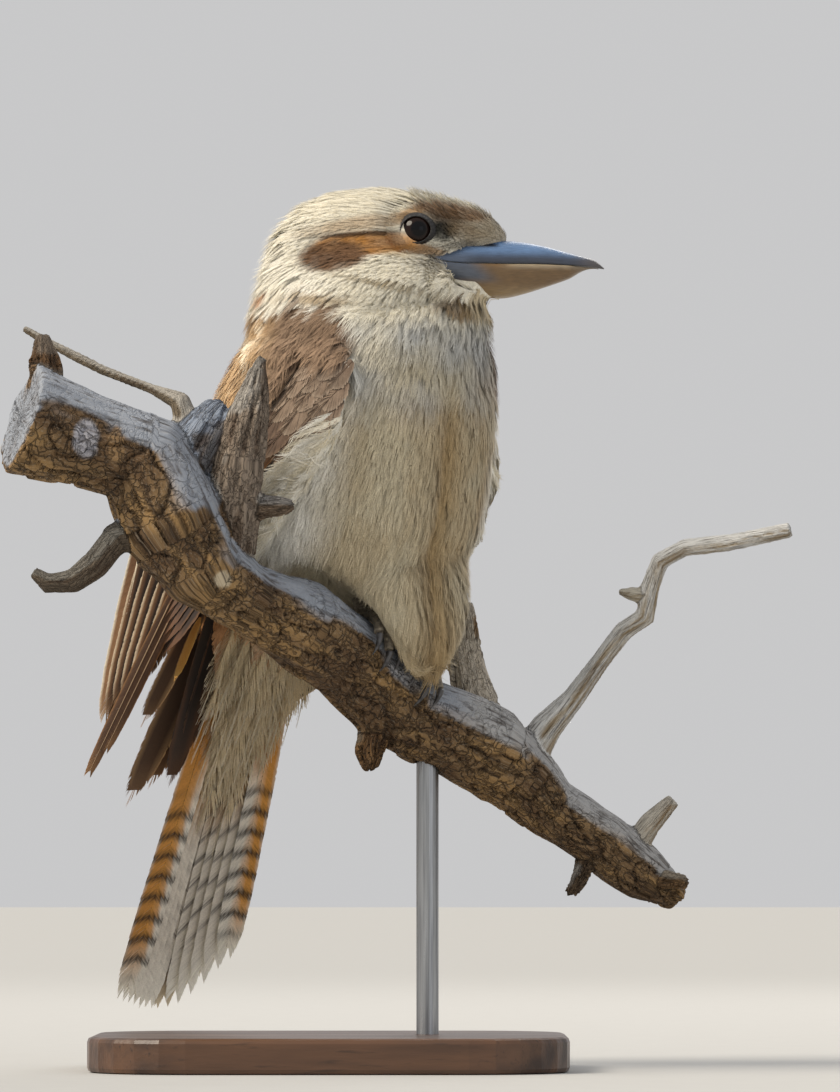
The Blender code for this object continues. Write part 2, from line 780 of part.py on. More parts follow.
def make_wing(side, collection, material):
    """Makes one folded wing as a single body."""
    sheet = wing_sheet(side)
    core = slab_mesh(sheet, WING_CORE, -CORE_DEPTH, 0.0, "wing_core")
    wing = join_meshes(core, wing_vanes(sheet), f"wing_{side}", collection)
    wing.data.materials.clear()
    wing.data.materials.append(material)
    return wing


def wing_room(side):
    """Makes the room that a wing takes in the body."""
    return slab_mesh(wing_sheet(side), WING_ROOM, -CORE_DEPTH - GAP, ROOM_HEIGHT, "wing_room", grow=GAP)


def tail_frame():
    """Returns the tail's root, its direction, the way across it and the way out of its upper face."""
    root = bird(*TAIL_ROOT)
    ahead = (bird(*TAIL_TIP) - root).normalized()
    aside = bird_turn((0.0, 1.0, 0.0)).normalized()
    return root, ahead, aside, aside.cross(ahead).normalized()


def tail_place(along, across, height):
    """Returns the world place of a point on or over the tail's sheet."""
    root, ahead, aside, upper = tail_frame()
    return root + ahead * along + aside * across + upper * height


def tail_ribbon(name, along_root, along_tip, across_root, across_tip, width, heights, tilt):
    """Makes one tail feather or tail covert."""
    shape = ((0.0, 0.34), (0.14, 0.70), (0.45, 0.94), (0.80, 1.0), (0.95, 0.78), (1.0, 0.34))
    rings = []
    for t, share in shape:
        along = along_root + (along_tip - along_root) * t
        centre = across_root + (across_tip - across_root) * t
        height = heights[0] + (heights[1] - heights[0]) * t
        half = width * share / 2.0
        thick = VANE_THICK + (VANE_TIP_THICK - VANE_THICK) * max(0.0, t - 0.7) / 0.3
        low = height + tilt * half
        high = height - tilt * half
        rings.append((
            tail_place(along, centre - half, low),
            tail_place(along, centre + half, high),
            tail_place(along, centre + half, high - thick),
            tail_place(along, centre - half, low - thick),
        ))
    return ribbon_mesh(rings, name)


def tail_vanes():
    """Makes the twelve tail feathers and the coverts over and under their roots."""
    length = (bird(*TAIL_TIP) - bird(*TAIL_ROOT)).length
    vanes = []
    for pair in range(TAIL_PAIRS):
        for side in (-1.0, 1.0):
            place = (pair + 0.5) * side
            middle = 0.5 * TAIL_STEP if side > 0.0 else 0.0
            level = -TAIL_STEP * pair - middle
            tip = length - TAIL_SHORTER * pair**1.3 * 0.9
            vanes.append(tail_ribbon(
                "tail_feather",
                0.0,
                tip,
                place * TAIL_ROOT_PITCH,
                place * TAIL_TIP_PITCH,
                TAIL_WIDTH + 0.0004 * pair,
                (level, level),
                0.0,
            ))
    for rows, facing in ((UNDER_ROWS, -1.0), (UPPER_ROWS, 1.0)):
        for start, reach, count, pitch, width, level in rows:
            for k in range(count):
                across = (k - (count - 1) / 2.0) * pitch
                tilt = -facing * VANE_STEP / pitch
                size = reach * random.uniform(0.94, 1.04)
                heights = (facing * level, facing * level)
                vanes.append(tail_ribbon(
                    "tail_covert",
                    start,
                    start + size,
                    across,
                    across * 1.12,
                    width,
                    heights,
                    tilt,
                ))
    return vanes


def tail_core(name, grow=0.0):
    """Makes the base of the tail, which its feathers grow from."""
    _, _, aside, upper = tail_frame()
    rings = []
    for along, width, depth in TAIL_CORE:
        shift = -grow if along == TAIL_CORE[0][0] else 0.0
        centre = tail_place(along + shift, 0.0, 0.0)
        rings.append(ellipse(centre, aside * (width + grow), upper * (depth + grow), HEAD_SIDES))
    return loft(rings, name)


def tail_room(name):
    """Makes the room in the torso for the tail's base and its coverts."""
    _, _, aside, upper = tail_frame()
    start, width, depth, length = TAIL_ROOM
    rings = []
    for along in (start, start + length):
        rings.append(ellipse(tail_place(along, 0.0, 0.0), aside * width, upper * depth, HEAD_SIDES))
    return loft(rings, name)


def make_tail(collection, material):
    """Makes the tail with its coverts as a single body."""
    tail = join_meshes(tail_core("tail_core"), tail_vanes(), "tail", collection)
    tail.data.materials.clear()
    tail.data.materials.append(material)
    return tail


def perch_mesh(name, grow=0.0, wobble=0.0):
    """Makes the length of branch, or the room it takes."""
    points = [row[:3] for row in PERCH_LINE]
    radii = [row[3] + grow for row in PERCH_LINE]
    return tube_mesh(points, radii, PERCH_SIDES, name, wobble)


def growth_mesh(line, name, grow=0.0, wobble=0.0):
    """Makes one side growth of the perch, or the room it takes."""
    points = [row[:3] for row in line]
    radii = [row[3] + grow for row in line]
    return tube_mesh(points, radii, GROWTH_SIDES, name, wobble)


def perch_point(place):
    """Returns the middle, direction and radius of the perch at a place along its line."""
    step = int(place)
    share = place - step
    first = Vector(PERCH_LINE[step])
    second = Vector(PERCH_LINE[step + 1])
    mixed = first.lerp(second, share) if len(first) == 4 else first
    ahead = (second.xyz - first.xyz).normalized()
    return mixed.xyz, ahead, mixed[3]


def make_perch(collection, material):
    """Makes the perch with its snag, twigs, knobs and stubs as one piece of wood."""
    growth = [growth_mesh(line, "growth", wobble=0.05) for line in PERCH_GROWTH]
    perch = join_meshes(perch_mesh("perch_core", wobble=0.02), growth, "perch", collection)
    perch.data.materials.clear()
    perch.data.materials.append(material)
    return perch


def foot_frame(side):
    """Returns the middle of the perch under a foot, with its direction, its front and its top."""
    middle, ahead, radius = perch_point(FOOT_PLACES[side])
    front = bird_turn((1.0, 0.0, 0.0))
    front = (front - ahead * front.dot(ahead)).normalized()
    top = front.cross(ahead).normalized()
    if top.z < 0.0:
        top = -top
    return middle, ahead, front, top, radius


def round_perch(side, angle, shift, lift):
    """Returns a point over the perch at an angle from its top towards its front."""
    middle, ahead, front, top, radius = foot_frame(side)
    turn = math.radians(angle)
    return middle + ahead * shift + (top * math.cos(turn) + front * math.sin(turn)) * (radius + lift)


def make_foot(side, collection, skin, horn):
    """Makes one foot with four toes, and its four claws."""
    toes = []
    digits = [(shift, arc) for shift, arc in zip(TOE_SPREAD, TOE_ARCS)]
    digits.append((0.0, -HALLUX_ARC))
    for number, (shift, arc) in enumerate(digits):
        points = []
        radii = []
        for k in range(6):
            t = k / 5.0
            points.append(round_perch(side, arc * t, shift * t, TOE_LIFT))
            radii.append(TOE_RADIUS * (1.05 - TOE_TAPER * t))
        toes.append(tube_mesh(points, radii, 8, "toe"))
        claw_points = []
        claw_radii = []
        turn = math.copysign(CLAW_ARC, arc)
        start = arc + math.copysign(CLAW_GAP, arc)
        for k in range(5):
            t = k / 4.0
            claw_points.append(round_perch(side, start + turn * t, shift, JOINT_LIFT - CLAW_HOOK * t * t))
            claw_radii.append(CLAW_RADIUS * (1.0 - CLAW_TAPER * t))
        claw = add_object(tube_mesh(claw_points, claw_radii, 8, "claw"), f"claw_{side}_{number + 1}", collection)
        claw.data.materials.append(horn)
    joint = ball_mesh(round_perch(side, 0.0, 0.0, JOINT_LIFT), JOINT_RADIUS, "joint", 8, 12)
    top = Vector(LEG_TOPS[side])
    heel = round_perch(side, 0.0, 0.0, HEEL_LIFT)
    ankle = heel.lerp(top, ANKLE_SHARE)
    shank = tube_mesh((heel, ankle), (SHANK_RADIUS * 0.92, SHANK_RADIUS * 0.86), 10, "shank")
    foot = join_meshes(joint, toes + [shank], f"foot_{side}", collection)
    foot.data.materials.clear()
    foot.data.materials.append(skin)
    return foot


def leg_mesh(side, name, grow=0.0):
    """Makes one feathered leg, from just over the foot into the belly, or the room it takes."""
    heel = round_perch(side, 0.0, 0.0, HEEL_LIFT)
    top = Vector(LEG_TOPS[side])
    ahead = (top - heel).normalized()
    ankle = heel.lerp(top, ANKLE_SHARE) + ahead * GAP
    if grow:
        ankle = heel
    points = (ankle, ankle.lerp(top, 0.35), ankle.lerp(top, 0.75), top + ahead * grow)
    radii = (SHANK_RADIUS + grow, LEG_RADIUS * 0.8 + grow, LEG_RADIUS + grow, LEG_RADIUS * 0.8 + grow)
    return tube_mesh(points, radii, 12, name)


def bill_half(upper, name, grow=0.0):
    """Makes the upper or lower half of the bill, or the room it takes in the head."""
    rings = []
    for x, mouth, rise, drop, width in BILL_SECTIONS:
        depth = rise if upper else -drop
        sign = 1.0 if upper else -1.0
        level = mouth + sign * (GAP / 2.0 - grow * 2.0)
        ring = []
        for k in range(BILL_SIDES + 1):
            angle = math.pi * k / BILL_SIDES
            across = math.cos(angle) * (width + grow)
            high = math.sin(angle) ** 0.85 * (abs(depth) + grow * 3.0)
            ring.append(Vector((x, HEAD_Y + across, level + sign * high)))
        rings.append(ring)
    tip_x, tip_z = BILL_TIP
    if not upper:
        tip_x -= BILL_TIP_STEP
    tip = Vector((tip_x, HEAD_Y, tip_z))
    return loft(rings, name, point_end=tip)


def nostril_mesh(side, name):
    """Makes the cutter of one nostril, a slit near the root of the upper bill."""
    back, front = NOSTRIL_X
    y = HEAD_Y - side * NOSTRIL_OUT
    points = []
    for x in (back, (back + front) / 2.0, front):
        points.append((x, y + side * (x - back) * NOSTRIL_FLARE, NOSTRIL_Z))
    return tube_mesh(points, (NOSTRIL_RADIUS * 0.6, NOSTRIL_RADIUS, NOSTRIL_RADIUS * 0.5), 8, name)


def lid_mesh(side, name):
    """Makes the ring of the eyelids round one eye."""
    bm = bmesh.new()
    rows = []
    for k in range(LID_SIDES):
        angle = 2.0 * math.pi * k / LID_SIDES
        out = Vector((math.cos(angle) * 1.08, 0.0, math.sin(angle)))
        centre = Vector((EYE_X, HEAD_Y - side * LID_OUT, EYE_Z)) + out * LID_RADIUS
        row = []
        for n in range(LID_LOOPS):
            turn = 2.0 * math.pi * n / LID_LOOPS
            shift = out * math.cos(turn) * LID_THICK + Vector((0.0, side, 0.0)) * math.sin(turn) * LID_THICK * 1.3
            row.append(bm.verts.new(centre + shift))
        rows.append(row)
    for k in range(LID_SIDES):
        after = rows[(k + 1) % LID_SIDES]
        for n in range(LID_LOOPS):
            m = (n + 1) % LID_LOOPS
            bm.faces.new((rows[k][n], rows[k][m], after[m], after[n]))
    return mesh_from(bm, name)


def make_flesh(collection, material):
    """Models head, neck and torso whole, and parts them with two thin level cuts."""
    torso_rows = [(z, forward, 0.0, depth, width) for z, forward, depth, width in TORSO_SECTIONS]
    others = [
        plan_body(BELLY_SECTIONS, "belly"),
        neck_body("neck"),
        head_body(HEAD_SECTIONS, "skull"),
        head_body(FOREHEAD_SECTIONS, "forehead"),
        head_body(CHIN_SECTIONS, "chin"),
    ]
    whole = join_meshes(plan_body(torso_rows, "torso"), others, "whole", collection)
    levels = (("head", NECK_TOP + GAP / 2.0, 1.0), ("neck", NECK_FOOT + GAP / 2.0, NECK_TOP - GAP / 2.0))
    pieces = {}
    for name, low, high in (*levels, ("torso", -1.0, NECK_FOOT - GAP / 2.0)):
        piece = add_object(whole.data.copy(), name, collection)
        cuts = []
        if low > 0.0:
            cuts.append(box_mesh((-0.3, -0.3, -0.1), (0.3, 0.3, low), "below"))
        if high < 0.5:
            cuts.append(box_mesh((-0.3, -0.3, high), (0.3, 0.3, 0.6), "above"))
        cut_with(piece, cuts)
        piece.data.materials.clear()
        piece.data.materials.append(material)
        pieces[name] = piece
    bpy.data.objects.remove(whole, do_unlink=True)
    return pieces


def fit_torso(torso):
    """Makes room in the torso for wings, tail, legs and perch."""
    cuts = [wing_room("right"), wing_room("left"), tail_core("core_room", grow=GAP), tail_room("tail_room")]
    cuts.append(perch_mesh("perch_room", grow=PERCH_ROOM))
    cuts.extend(leg_mesh(side, "leg_room", grow=GAP) for side in FOOT_PLACES)
    cuts.append(growth_mesh(BACK_STUB, "stub_room", grow=0.002))
    for cutter in cuts:
        cut_with(torso, [cutter])


def fit_head(head):
    """Adds the lids to the head and makes room in it for eyes and bill."""
    helpers = make_collection("lids")
    for side in (1.0, -1.0):
        add_object(lid_mesh(side, "lid"), f"lid_{side}", helpers)
    apply_boolean(head, "UNION", helpers)
    remove_collection(helpers)
    for side in (1.0, -1.0):
        centre = Vector((EYE_X, HEAD_Y - side * EYE_OUT, EYE_Z))
        cut_with(head, [ball_mesh(centre, EYE_RADIUS + GAP, "eye_room")])
    for upper in (True, False):
        cut_with(head, [bill_half(upper, "bill_room", grow=GAP)])


def make_base(collection, wood):
    """Makes the base of the stand."""
    bm = bmesh.new()
    corners = []
    for cx, cy, start in ((1, 1, 0), (-1, 1, 90), (-1, -1, 180), (1, -1, 270)):
        for k in range(BASE_CORNER_STEPS + 1):
            angle = math.radians(start + 90.0 * k / BASE_CORNER_STEPS)
            x = BASE_CENTRE[0] + cx * (BASE_LENGTH / 2 - BASE_ROUND) + BASE_ROUND * math.cos(angle)
            y = BASE_CENTRE[1] + cy * (BASE_WIDTH / 2 - BASE_ROUND) + BASE_ROUND * math.sin(angle)
            corners.append((x, y))
    low = [bm.verts.new((x, y, 0.0)) for x, y in corners]
    high = [bm.verts.new((x, y, BASE_THICK)) for x, y in corners]
    bm.faces.new(low)
    bm.faces.new(high)
    for k in range(len(corners)):
        n = (k + 1) % len(corners)
        bm.faces.new((low[k], low[n], high[n], high[k]))
    base = add_object(mesh_from(bm, "stand_base"), "stand_base", collection)
    base.data.materials.append(wood)
    bevel = base.modifiers.new("Edge", "BEVEL")
    bevel.width = BASE_EDGE
    bevel.segments = 2
    bevel.limit_method = "ANGLE"
    bevel.angle_limit = math.radians(60.0)
    return base


def rod_mesh(name, low, high, radius):
    """Makes an upright rod between two heights."""
    x, y = ROD_PLACE
    return tube_mesh(((x, y, low), (x, y, high)), (radius, radius), 20, name)


def make_rod(collection, perch, base, metal):
    """Makes the rod, with a socket for its top in the perch and one for its foot in the base."""
    underside = perch_underside()
    top = underside + ROD_SOCKET
    foot = BASE_THICK / 2.0
    rod = add_object(rod_mesh("stand_rod", foot, top, ROD_RADIUS), "stand_rod", collection)
    rod.data.materials.append(metal)
    cut_with(perch, [rod_mesh("socket", underside - 0.03, top + GAP, ROD_RADIUS + GAP)])
    modifier_mesh(base)
    cut_with(base, [rod_mesh("socket", foot - GAP, BASE_THICK + 0.01, ROD_RADIUS + GAP)])
    return rod


def perch_underside():
    """Returns the height of the perch's underside over the rod's place."""
    x, y = ROD_PLACE
    nearest = min(range(len(PERCH_LINE)), key=lambda k: (PERCH_LINE[k][0] - x) ** 2 + (PERCH_LINE[k][1] - y) ** 2)
    return PERCH_LINE[nearest][2] - PERCH_LINE[nearest][3]


def modifier_mesh(thing):
    """Applies an object's modifiers to its mesh."""
    graph = bpy.context.evaluated_depsgraph_get()
    mesh = bpy.data.meshes.new_from_object(thing.evaluated_get(graph))
    thing.modifiers.clear()
    thing.data = mesh


def finish_object(thing):
    """Moves an object into the frame of the base and shades it smooth."""
    thing.data.transform(Matrix.Translation((-BASE_CENTRE[0], -BASE_CENTRE[1], 0.0)))
    thing.data.shade_smooth()
    thing.data.set_sharp_from_angle(angle=math.radians(40.0))


def main():
    """Builds the whole object."""
    for thing in list(bpy.data.objects):
        bpy.data.objects.remove(thing, do_unlink=True)
    parts = make_collection(COLLECTION_NAME)
    looks = {name: make_material(name) for name in MATERIALS}

    flesh = make_flesh(parts, looks["cream_feathers"])
    fit_torso(flesh["torso"])
    cut_with(flesh["neck"], [wing_room("right")])
    cut_with(flesh["neck"], [wing_room("left")])
    fit_head(flesh["head"])
    for side in FOOT_PLACES:
        make_wing(side, parts, looks["brown_feathers"])
        make_foot(side, parts, looks["slate_skin"], looks["claw_horn"])
        leg = add_object(leg_mesh(side, f"leg_{side}"), f"leg_{side}", parts)
        leg.data.materials.append(looks["cream_feathers"])
    make_tail(parts, looks["barred_feathers"])
    for upper, name, look in ((True, "bill_upper", "upper_bill_horn"), (False, "bill_lower", "lower_bill_horn")):
        bill = add_object(bill_half(upper, name), name, parts)
        if upper:
            cut_with(bill, [nostril_mesh(side, "nostril") for side in (1.0, -1.0)])
        bill.data.materials.append(looks[look])
    for side, name in ((1.0, "eye_right"), (-1.0, "eye_left")):
        centre = Vector((EYE_X, HEAD_Y - side * EYE_OUT, EYE_Z))
        eye = add_object(ball_mesh(centre, EYE_RADIUS, name), name, parts)
        eye.data.materials.append(looks["eye_brown"])
    perch = make_perch(parts, looks["weathered_wood"])
    base = make_base(parts, looks["stand_wood"])
    make_rod(parts, perch, base, looks["stand_metal"])
    for thing in parts.objects:
        finish_object(thing)


main()
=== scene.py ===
"""Looks of a life-size laughing kookaburra on a cut branch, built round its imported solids.

Everything is in metres with Z up and the origin under the middle of the stand's base, apart from tables of
whole numbers, which are in tenths of a millimetre. The head is turned square to the view, with the bill
along +X. The body has its own plan: F forward along the chest, L to the bird's left, and Z for height.
"""

import logging
import math
from dataclasses import dataclass, field, replace
from enum import Enum

import bmesh
import bpy
import numpy as np
from bpy.types import Material, Mesh, Node, NodeSocket, Object
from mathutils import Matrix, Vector, noise
from mathutils.bvhtree import BVHTree
from mathutils.kdtree import KDTree


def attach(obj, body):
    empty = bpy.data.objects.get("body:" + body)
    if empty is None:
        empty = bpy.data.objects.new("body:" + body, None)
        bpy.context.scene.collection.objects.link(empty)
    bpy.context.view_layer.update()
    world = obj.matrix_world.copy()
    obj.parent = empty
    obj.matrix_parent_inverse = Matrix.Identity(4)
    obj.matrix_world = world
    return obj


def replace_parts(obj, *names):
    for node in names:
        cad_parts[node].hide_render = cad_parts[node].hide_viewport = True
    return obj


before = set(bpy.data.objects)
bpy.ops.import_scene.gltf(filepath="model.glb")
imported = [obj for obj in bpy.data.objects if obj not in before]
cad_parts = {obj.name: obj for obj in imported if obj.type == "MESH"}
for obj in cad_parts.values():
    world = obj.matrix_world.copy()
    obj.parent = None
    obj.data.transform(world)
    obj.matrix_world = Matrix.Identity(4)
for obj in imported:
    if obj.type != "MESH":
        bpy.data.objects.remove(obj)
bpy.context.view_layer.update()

LOG = logging.getLogger("kookaburra")
Array = np.ndarray
Random = np.random.Generator
Colour = tuple[float, float, float]
Table = tuple[tuple[int, ...], ...]

BODY = "root"
HEADING = math.radians(38.0)
BODY_X = 0.006
HEAD_Y = -0.0200
HEAD_SHIFT = 0.036
BAKE_MAP = "OFBake"
TINT = "tint"


class Side(Enum):
    """The two sides of the bird."""

    RIGHT = "right"
    LEFT = "left"

    @property
    def sign(self) -> float:
        """Way along L: -1 for right, 1 for left."""
        return -1.0 if self is Side.RIGHT else 1.0


# Small tools


def metres(table: Table) -> Array:
    """Turns a table in tenths of a millimetre into metres."""
    return np.array(table) / 10000.0


def paint(red: int, green: int, blue: int) -> Colour:
    """Turns a colour of 0 to 255 steps into linear light."""
    steps = (value / 255.0 for value in (red, green, blue))
    return tuple(s / 12.92 if s <= 0.04045 else ((s + 0.055) / 1.055) ** 2.4 for s in steps)


def unit(rows: Array) -> Array:
    """Scales each row to length one."""
    return rows / np.maximum(np.linalg.norm(rows, axis=-1, keepdims=True), 1e-12)


def ramp(value: Array, low: float, high: float) -> Array:
    """Eases from 0 at low to 1 at high."""
    t = np.clip((value - low) / (high - low), 0.0, 1.0)
    return t * t * (3.0 - 2.0 * t)


def swing(count: int) -> Array:
    """Lists even turns round a circle."""
    return np.arange(count) / count * 2.0 * math.pi


def blend_to(base: Array, colour: Array | Colour, share: Array) -> Array:
    """Blends rows of colour towards another, or others, by a share for each row."""
    part = np.clip(share, 0.0, 1.0)[..., None]
    return base * (1.0 - part) + np.asarray(colour) * part


def painted(count: int, base: Colour, *layers: tuple[Colour, Array]) -> Array:
    """Lays colours over a plain one.

    Args:
        count: how many rows to make.
        base: the plain colour.
        layers: colours, each with its share for each row.

    Returns:
        Rows of linear colour.
    """
    rows = np.tile(np.asarray(base), (count, 1))
    for colour, share in layers:
        rows = blend_to(rows, colour, share)
    return rows


def in_body(places: Array) -> Array:
    """Turns the body's own terms into the frame's.

    Args:
        places: rows of F, L and Z.

    Returns:
        Rows of X, Y and Z.
    """
    rows = np.asarray(places, float).reshape(-1, 3)
    x = BODY_X + math.sin(HEADING) * rows[:, 0] + math.cos(HEADING) * rows[:, 1]
    y = -math.cos(HEADING) * rows[:, 0] + math.sin(HEADING) * rows[:, 1]
    return np.stack((x, y, rows[:, 2]), axis=1)


def turn_body(ways: Array) -> Array:
    """Turns rows of F, L and Z directions into the frame's."""
    return in_body(ways) - in_body(np.zeros((1, 3)))


def to_body(places: Array) -> tuple[Array, Array, Array]:
    """Reads F, L and Z of rows of X, Y and Z."""
    x, y = places[:, 0] - BODY_X, places[:, 1]
    return math.sin(HEADING) * x - math.cos(HEADING) * y, math.cos(HEADING) * x + math.sin(HEADING) * y, places[:, 2]


def cloud(places: Array, scale: float, seed: float = 0.0) -> Array:
    """Reads smooth noise at rows of places.

    Args:
        places: rows of X, Y and Z.
        scale: turns of the noise in a metre.
        seed: shift that gives another pattern.

    Returns:
        One number a row, about -1 to 1.
    """
    shift = Vector((seed, seed * 1.7, seed * 2.3))
    return np.array([noise.noise(Vector(p) * scale + shift) for p in places.tolist()])


def hermite(t: Array, first: Array, lean_in: Array, second: Array, lean_out: Array) -> Array:
    """Reads a smooth curve between two values.

    Args:
        t: places from 0 to 1.
        first: the values at 0.
        lean_in: their slopes.
        second: the values at 1.
        lean_out: their slopes.

    Returns:
        The values there.
    """
    return (first * (2 * t**3 - 3 * t**2 + 1) + lean_in * (t**3 - 2 * t**2 + t)
            + second * (-2 * t**3 + 3 * t**2) + lean_out * (t**3 - t**2))


def rows_of(items: object, key: str, width: int, kind: type = np.float32) -> Array:
    """Reads numbers of a mesh's vertices, edges, faces or corners.

    Args:
        items: what is read.
        key: the name of its numbers.
        width: how many each has.
        kind: their kind.

    Returns:
        One row an item.
    """
    rows = np.empty(len(items) * width, kind)
    items.foreach_get(key, rows)
    return rows.reshape(-1, width)


def points_of(mesh: Mesh) -> Array:
    """Reads a mesh's vertices as rows."""
    return rows_of(mesh.vertices, "co", 3).astype(float)


def normals_of(mesh: Mesh) -> Array:
    """Reads a mesh's vertex normals as rows."""
    return rows_of(mesh.vertex_normals, "vector", 3).astype(float)


def edges_of(mesh: Mesh) -> Array:
    """Reads a mesh's edges as rows of two vertices."""
    return rows_of(mesh.edges, "vertices", 2, np.int32)


def corners_of(mesh: Mesh) -> Array:
    """Reads the vertex of each corner of a mesh's faces."""
    return rows_of(mesh.loops, "vertex_index", 1, np.int32)[:, 0]


def tree_of(mesh: Mesh) -> BVHTree:
    """Makes a search tree of a mesh's faces."""
    return BVHTree.FromPolygons(points_of(mesh).tolist(), [tuple(face.vertices) for face in mesh.polygons])


def move(mesh: Mesh, points: Array) -> None:
    """Moves a mesh's vertices to new places."""
    mesh.vertices.foreach_set("co", points.astype(np.float32).ravel())
    mesh.update()


def set_tint(mesh: Mesh, colours: Array) -> None:
    """Stores one colour a vertex."""
    rows = np.pad(np.clip(colours, 0.0, 1.0), ((0, 0), (0, 1)), constant_values=1.0).astype(np.float32)
    mesh.color_attributes.new(TINT, "FLOAT_COLOR", "POINT").data.foreach_set("color", rows.ravel())


def set_corner_map(mesh: Mesh, places: Array) -> None:
    """Stores the map from one place a corner."""
    mesh.uv_layers.new(name=BAKE_MAP).data.foreach_set("uv", places.astype(np.float32).ravel())


def set_map(mesh: Mesh, places: Array) -> None:
    """Stores the map from one place a vertex."""
    set_corner_map(mesh, places[corners_of(mesh)])


def mesh_of(name: str, points: Array, faces: list[Array], smooth: bool = True) -> Mesh:
    """Makes a mesh from rows of points and blocks of faces.

    Args:
        name: the mesh's name.
        points: rows of X, Y and Z.
        faces: blocks of rows of corners, each block with its own number of corners.
        smooth: whether the faces shade smooth.

    Returns:
        The mesh.
    """
    mesh = bpy.data.meshes.new(name)
    blocks = [np.asarray(block, np.int32) for block in faces if len(block)]
    corners = np.concatenate([block.ravel() for block in blocks])
    sizes = np.concatenate([np.full(len(block), block.shape[1], np.int32) for block in blocks])
    starts = np.concatenate(([0], np.cumsum(sizes)[:-1])).astype(np.int32)
    mesh.vertices.add(len(points))
    mesh.vertices.foreach_set("co", np.asarray(points, np.float32).ravel())
    mesh.loops.add(len(corners))
    mesh.loops.foreach_set("vertex_index", corners)
    mesh.polygons.add(len(sizes))
    mesh.polygons.foreach_set("loop_start", starts)
    mesh.polygons.foreach_set("use_smooth", np.full(len(sizes), smooth))
    mesh.update(calc_edges=True)
    return mesh


def faced_out(mesh: Mesh, merge: float = 0.0) -> Mesh:
    """Turns a closed mesh's faces outwards.

    Args:
        mesh: the mesh.
        merge: vertices nearer than this become one first.

    Returns:
        The same mesh.
    """
    bm = bmesh.new()
    bm.from_mesh(mesh)
    if merge:
        bmesh.ops.remove_doubles(bm, verts=bm.verts[:], dist=merge)
    bmesh.ops.recalc_face_normals(bm, faces=bm.faces[:])
    bm.to_mesh(mesh)
    bm.free()
    return mesh


def ring_quads(rings: int, sides: int, round_again: bool = False) -> Array:
    """Lists the faces between rings of points.

    Args:
        rings: how many rings there are.
        sides: how many points each has.
        round_again: whether the last ring joins the first.

    Returns:
        Rows of four corners.
    """
    r, k = np.divmod(np.arange((rings if round_again else rings - 1) * sides), sides)
    ahead, beside = (r + 1) % rings * sides, (k + 1) % sides
    return np.stack((r * sides + k, r * sides + beside, ahead + beside, ahead + k), axis=1)


def lofted(name: str, rings: list[Array]) -> Mesh:
    """Makes a closed form from rings of points.

    Args:
        name: the mesh's name.
        rings: the rings in order, with as many points each.

    Returns:
        The form's mesh.
    """
    sides, count = len(rings[0]), len(rings)
    caps = np.array([range(sides), range((count - 1) * sides, count * sides)])
    return faced_out(mesh_of(name, np.concatenate(rings), [ring_quads(count, sides), caps], False))


def put(name: str, mesh: Mesh, material: Material) -> Object:
    """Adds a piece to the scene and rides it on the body.

    Args:
        name: the piece's name.
        mesh: its mesh.
        material: its finish.

    Returns:
        The piece.
    """
    mesh.materials.clear()
    mesh.materials.append(material)
    thing = bpy.data.objects.new(name, mesh)
    bpy.context.scene.collection.objects.link(thing)
    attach(thing, BODY)
    LOG.info("%s: %d faces", name, len(mesh.polygons))
    return thing


def remeshed(name: str, parts: list[Mesh], voxel: float, swell: float = 0.0) -> Mesh:
    """Joins closed meshes into one even skin.

    Args:
        name: the new mesh's name.
        parts: the meshes to join.
        voxel: size of the new faces.
        swell: how far each part grows first, so that parts that nearly touch become one.

    Returns:
        The joined mesh.
    """
    bm = bmesh.new()
    for part in parts:
        piece = bmesh.new()
        piece.from_mesh(part)
        bmesh.ops.triangulate(piece, faces=piece.faces[:])
        piece.normal_update()
        for vert in piece.verts:
            vert.co += vert.normal * swell
        grown = bpy.data.meshes.new("grown")
        piece.to_mesh(grown)
        piece.free()
        bm.from_mesh(grown)
        bpy.data.meshes.remove(grown)
    joined = bpy.data.meshes.new(name)
    bm.to_mesh(joined)
    bm.free()
    helper = bpy.data.objects.new(name, joined)
    bpy.context.scene.collection.objects.link(helper)
    remesh = helper.modifiers.new("Even", "REMESH")
    remesh.mode = "VOXEL"
    remesh.voxel_size = voxel
    graph = bpy.context.evaluated_depsgraph_get()
    result = bpy.data.meshes.new_from_object(helper.evaluated_get(graph))
    bpy.data.objects.remove(helper, do_unlink=True)
    bpy.data.meshes.remove(joined)
    return result


def smoothed_node(name: str, voxel: float, rounds: int) -> tuple[Mesh, Array, Array]:
    """Makes an even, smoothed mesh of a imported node.

    Args:
        name: the node's name.
        voxel: size of the new faces.
        rounds: how many times it is smoothed.

    Returns:
        The mesh, its points and its edges.
    """
    mesh = remeshed(name, [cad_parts[name].data], voxel)
    edges = edges_of(mesh)
    points = relaxed(points_of(mesh), edges, rounds)
    move(mesh, points)
    return mesh, points, edges


def relaxed(values: Array, edges: Array, rounds: int) -> Array:
    """Smooths values over a mesh by averaging neighbours.

    Args:
        values: one row or number a vertex.
        edges: rows of two vertices.
        rounds: how many times to average.

    Returns:
        The smoothed values.
    """
    count = np.bincount(edges.ravel(), minlength=len(values)).astype(float)
    rows = values.reshape(len(values), -1)
    for _ in range(rounds):
        total = np.empty_like(rows)
        for k in range(rows.shape[1]):
            total[:, k] = np.bincount(edges[:, 0], weights=rows[edges[:, 1], k], minlength=len(rows))
            total[:, k] += np.bincount(edges[:, 1], weights=rows[edges[:, 0], k], minlength=len(rows))
        rows = rows + (total / np.maximum(count, 1.0)[:, None] - rows) * 0.5
    return rows.reshape(values.shape)


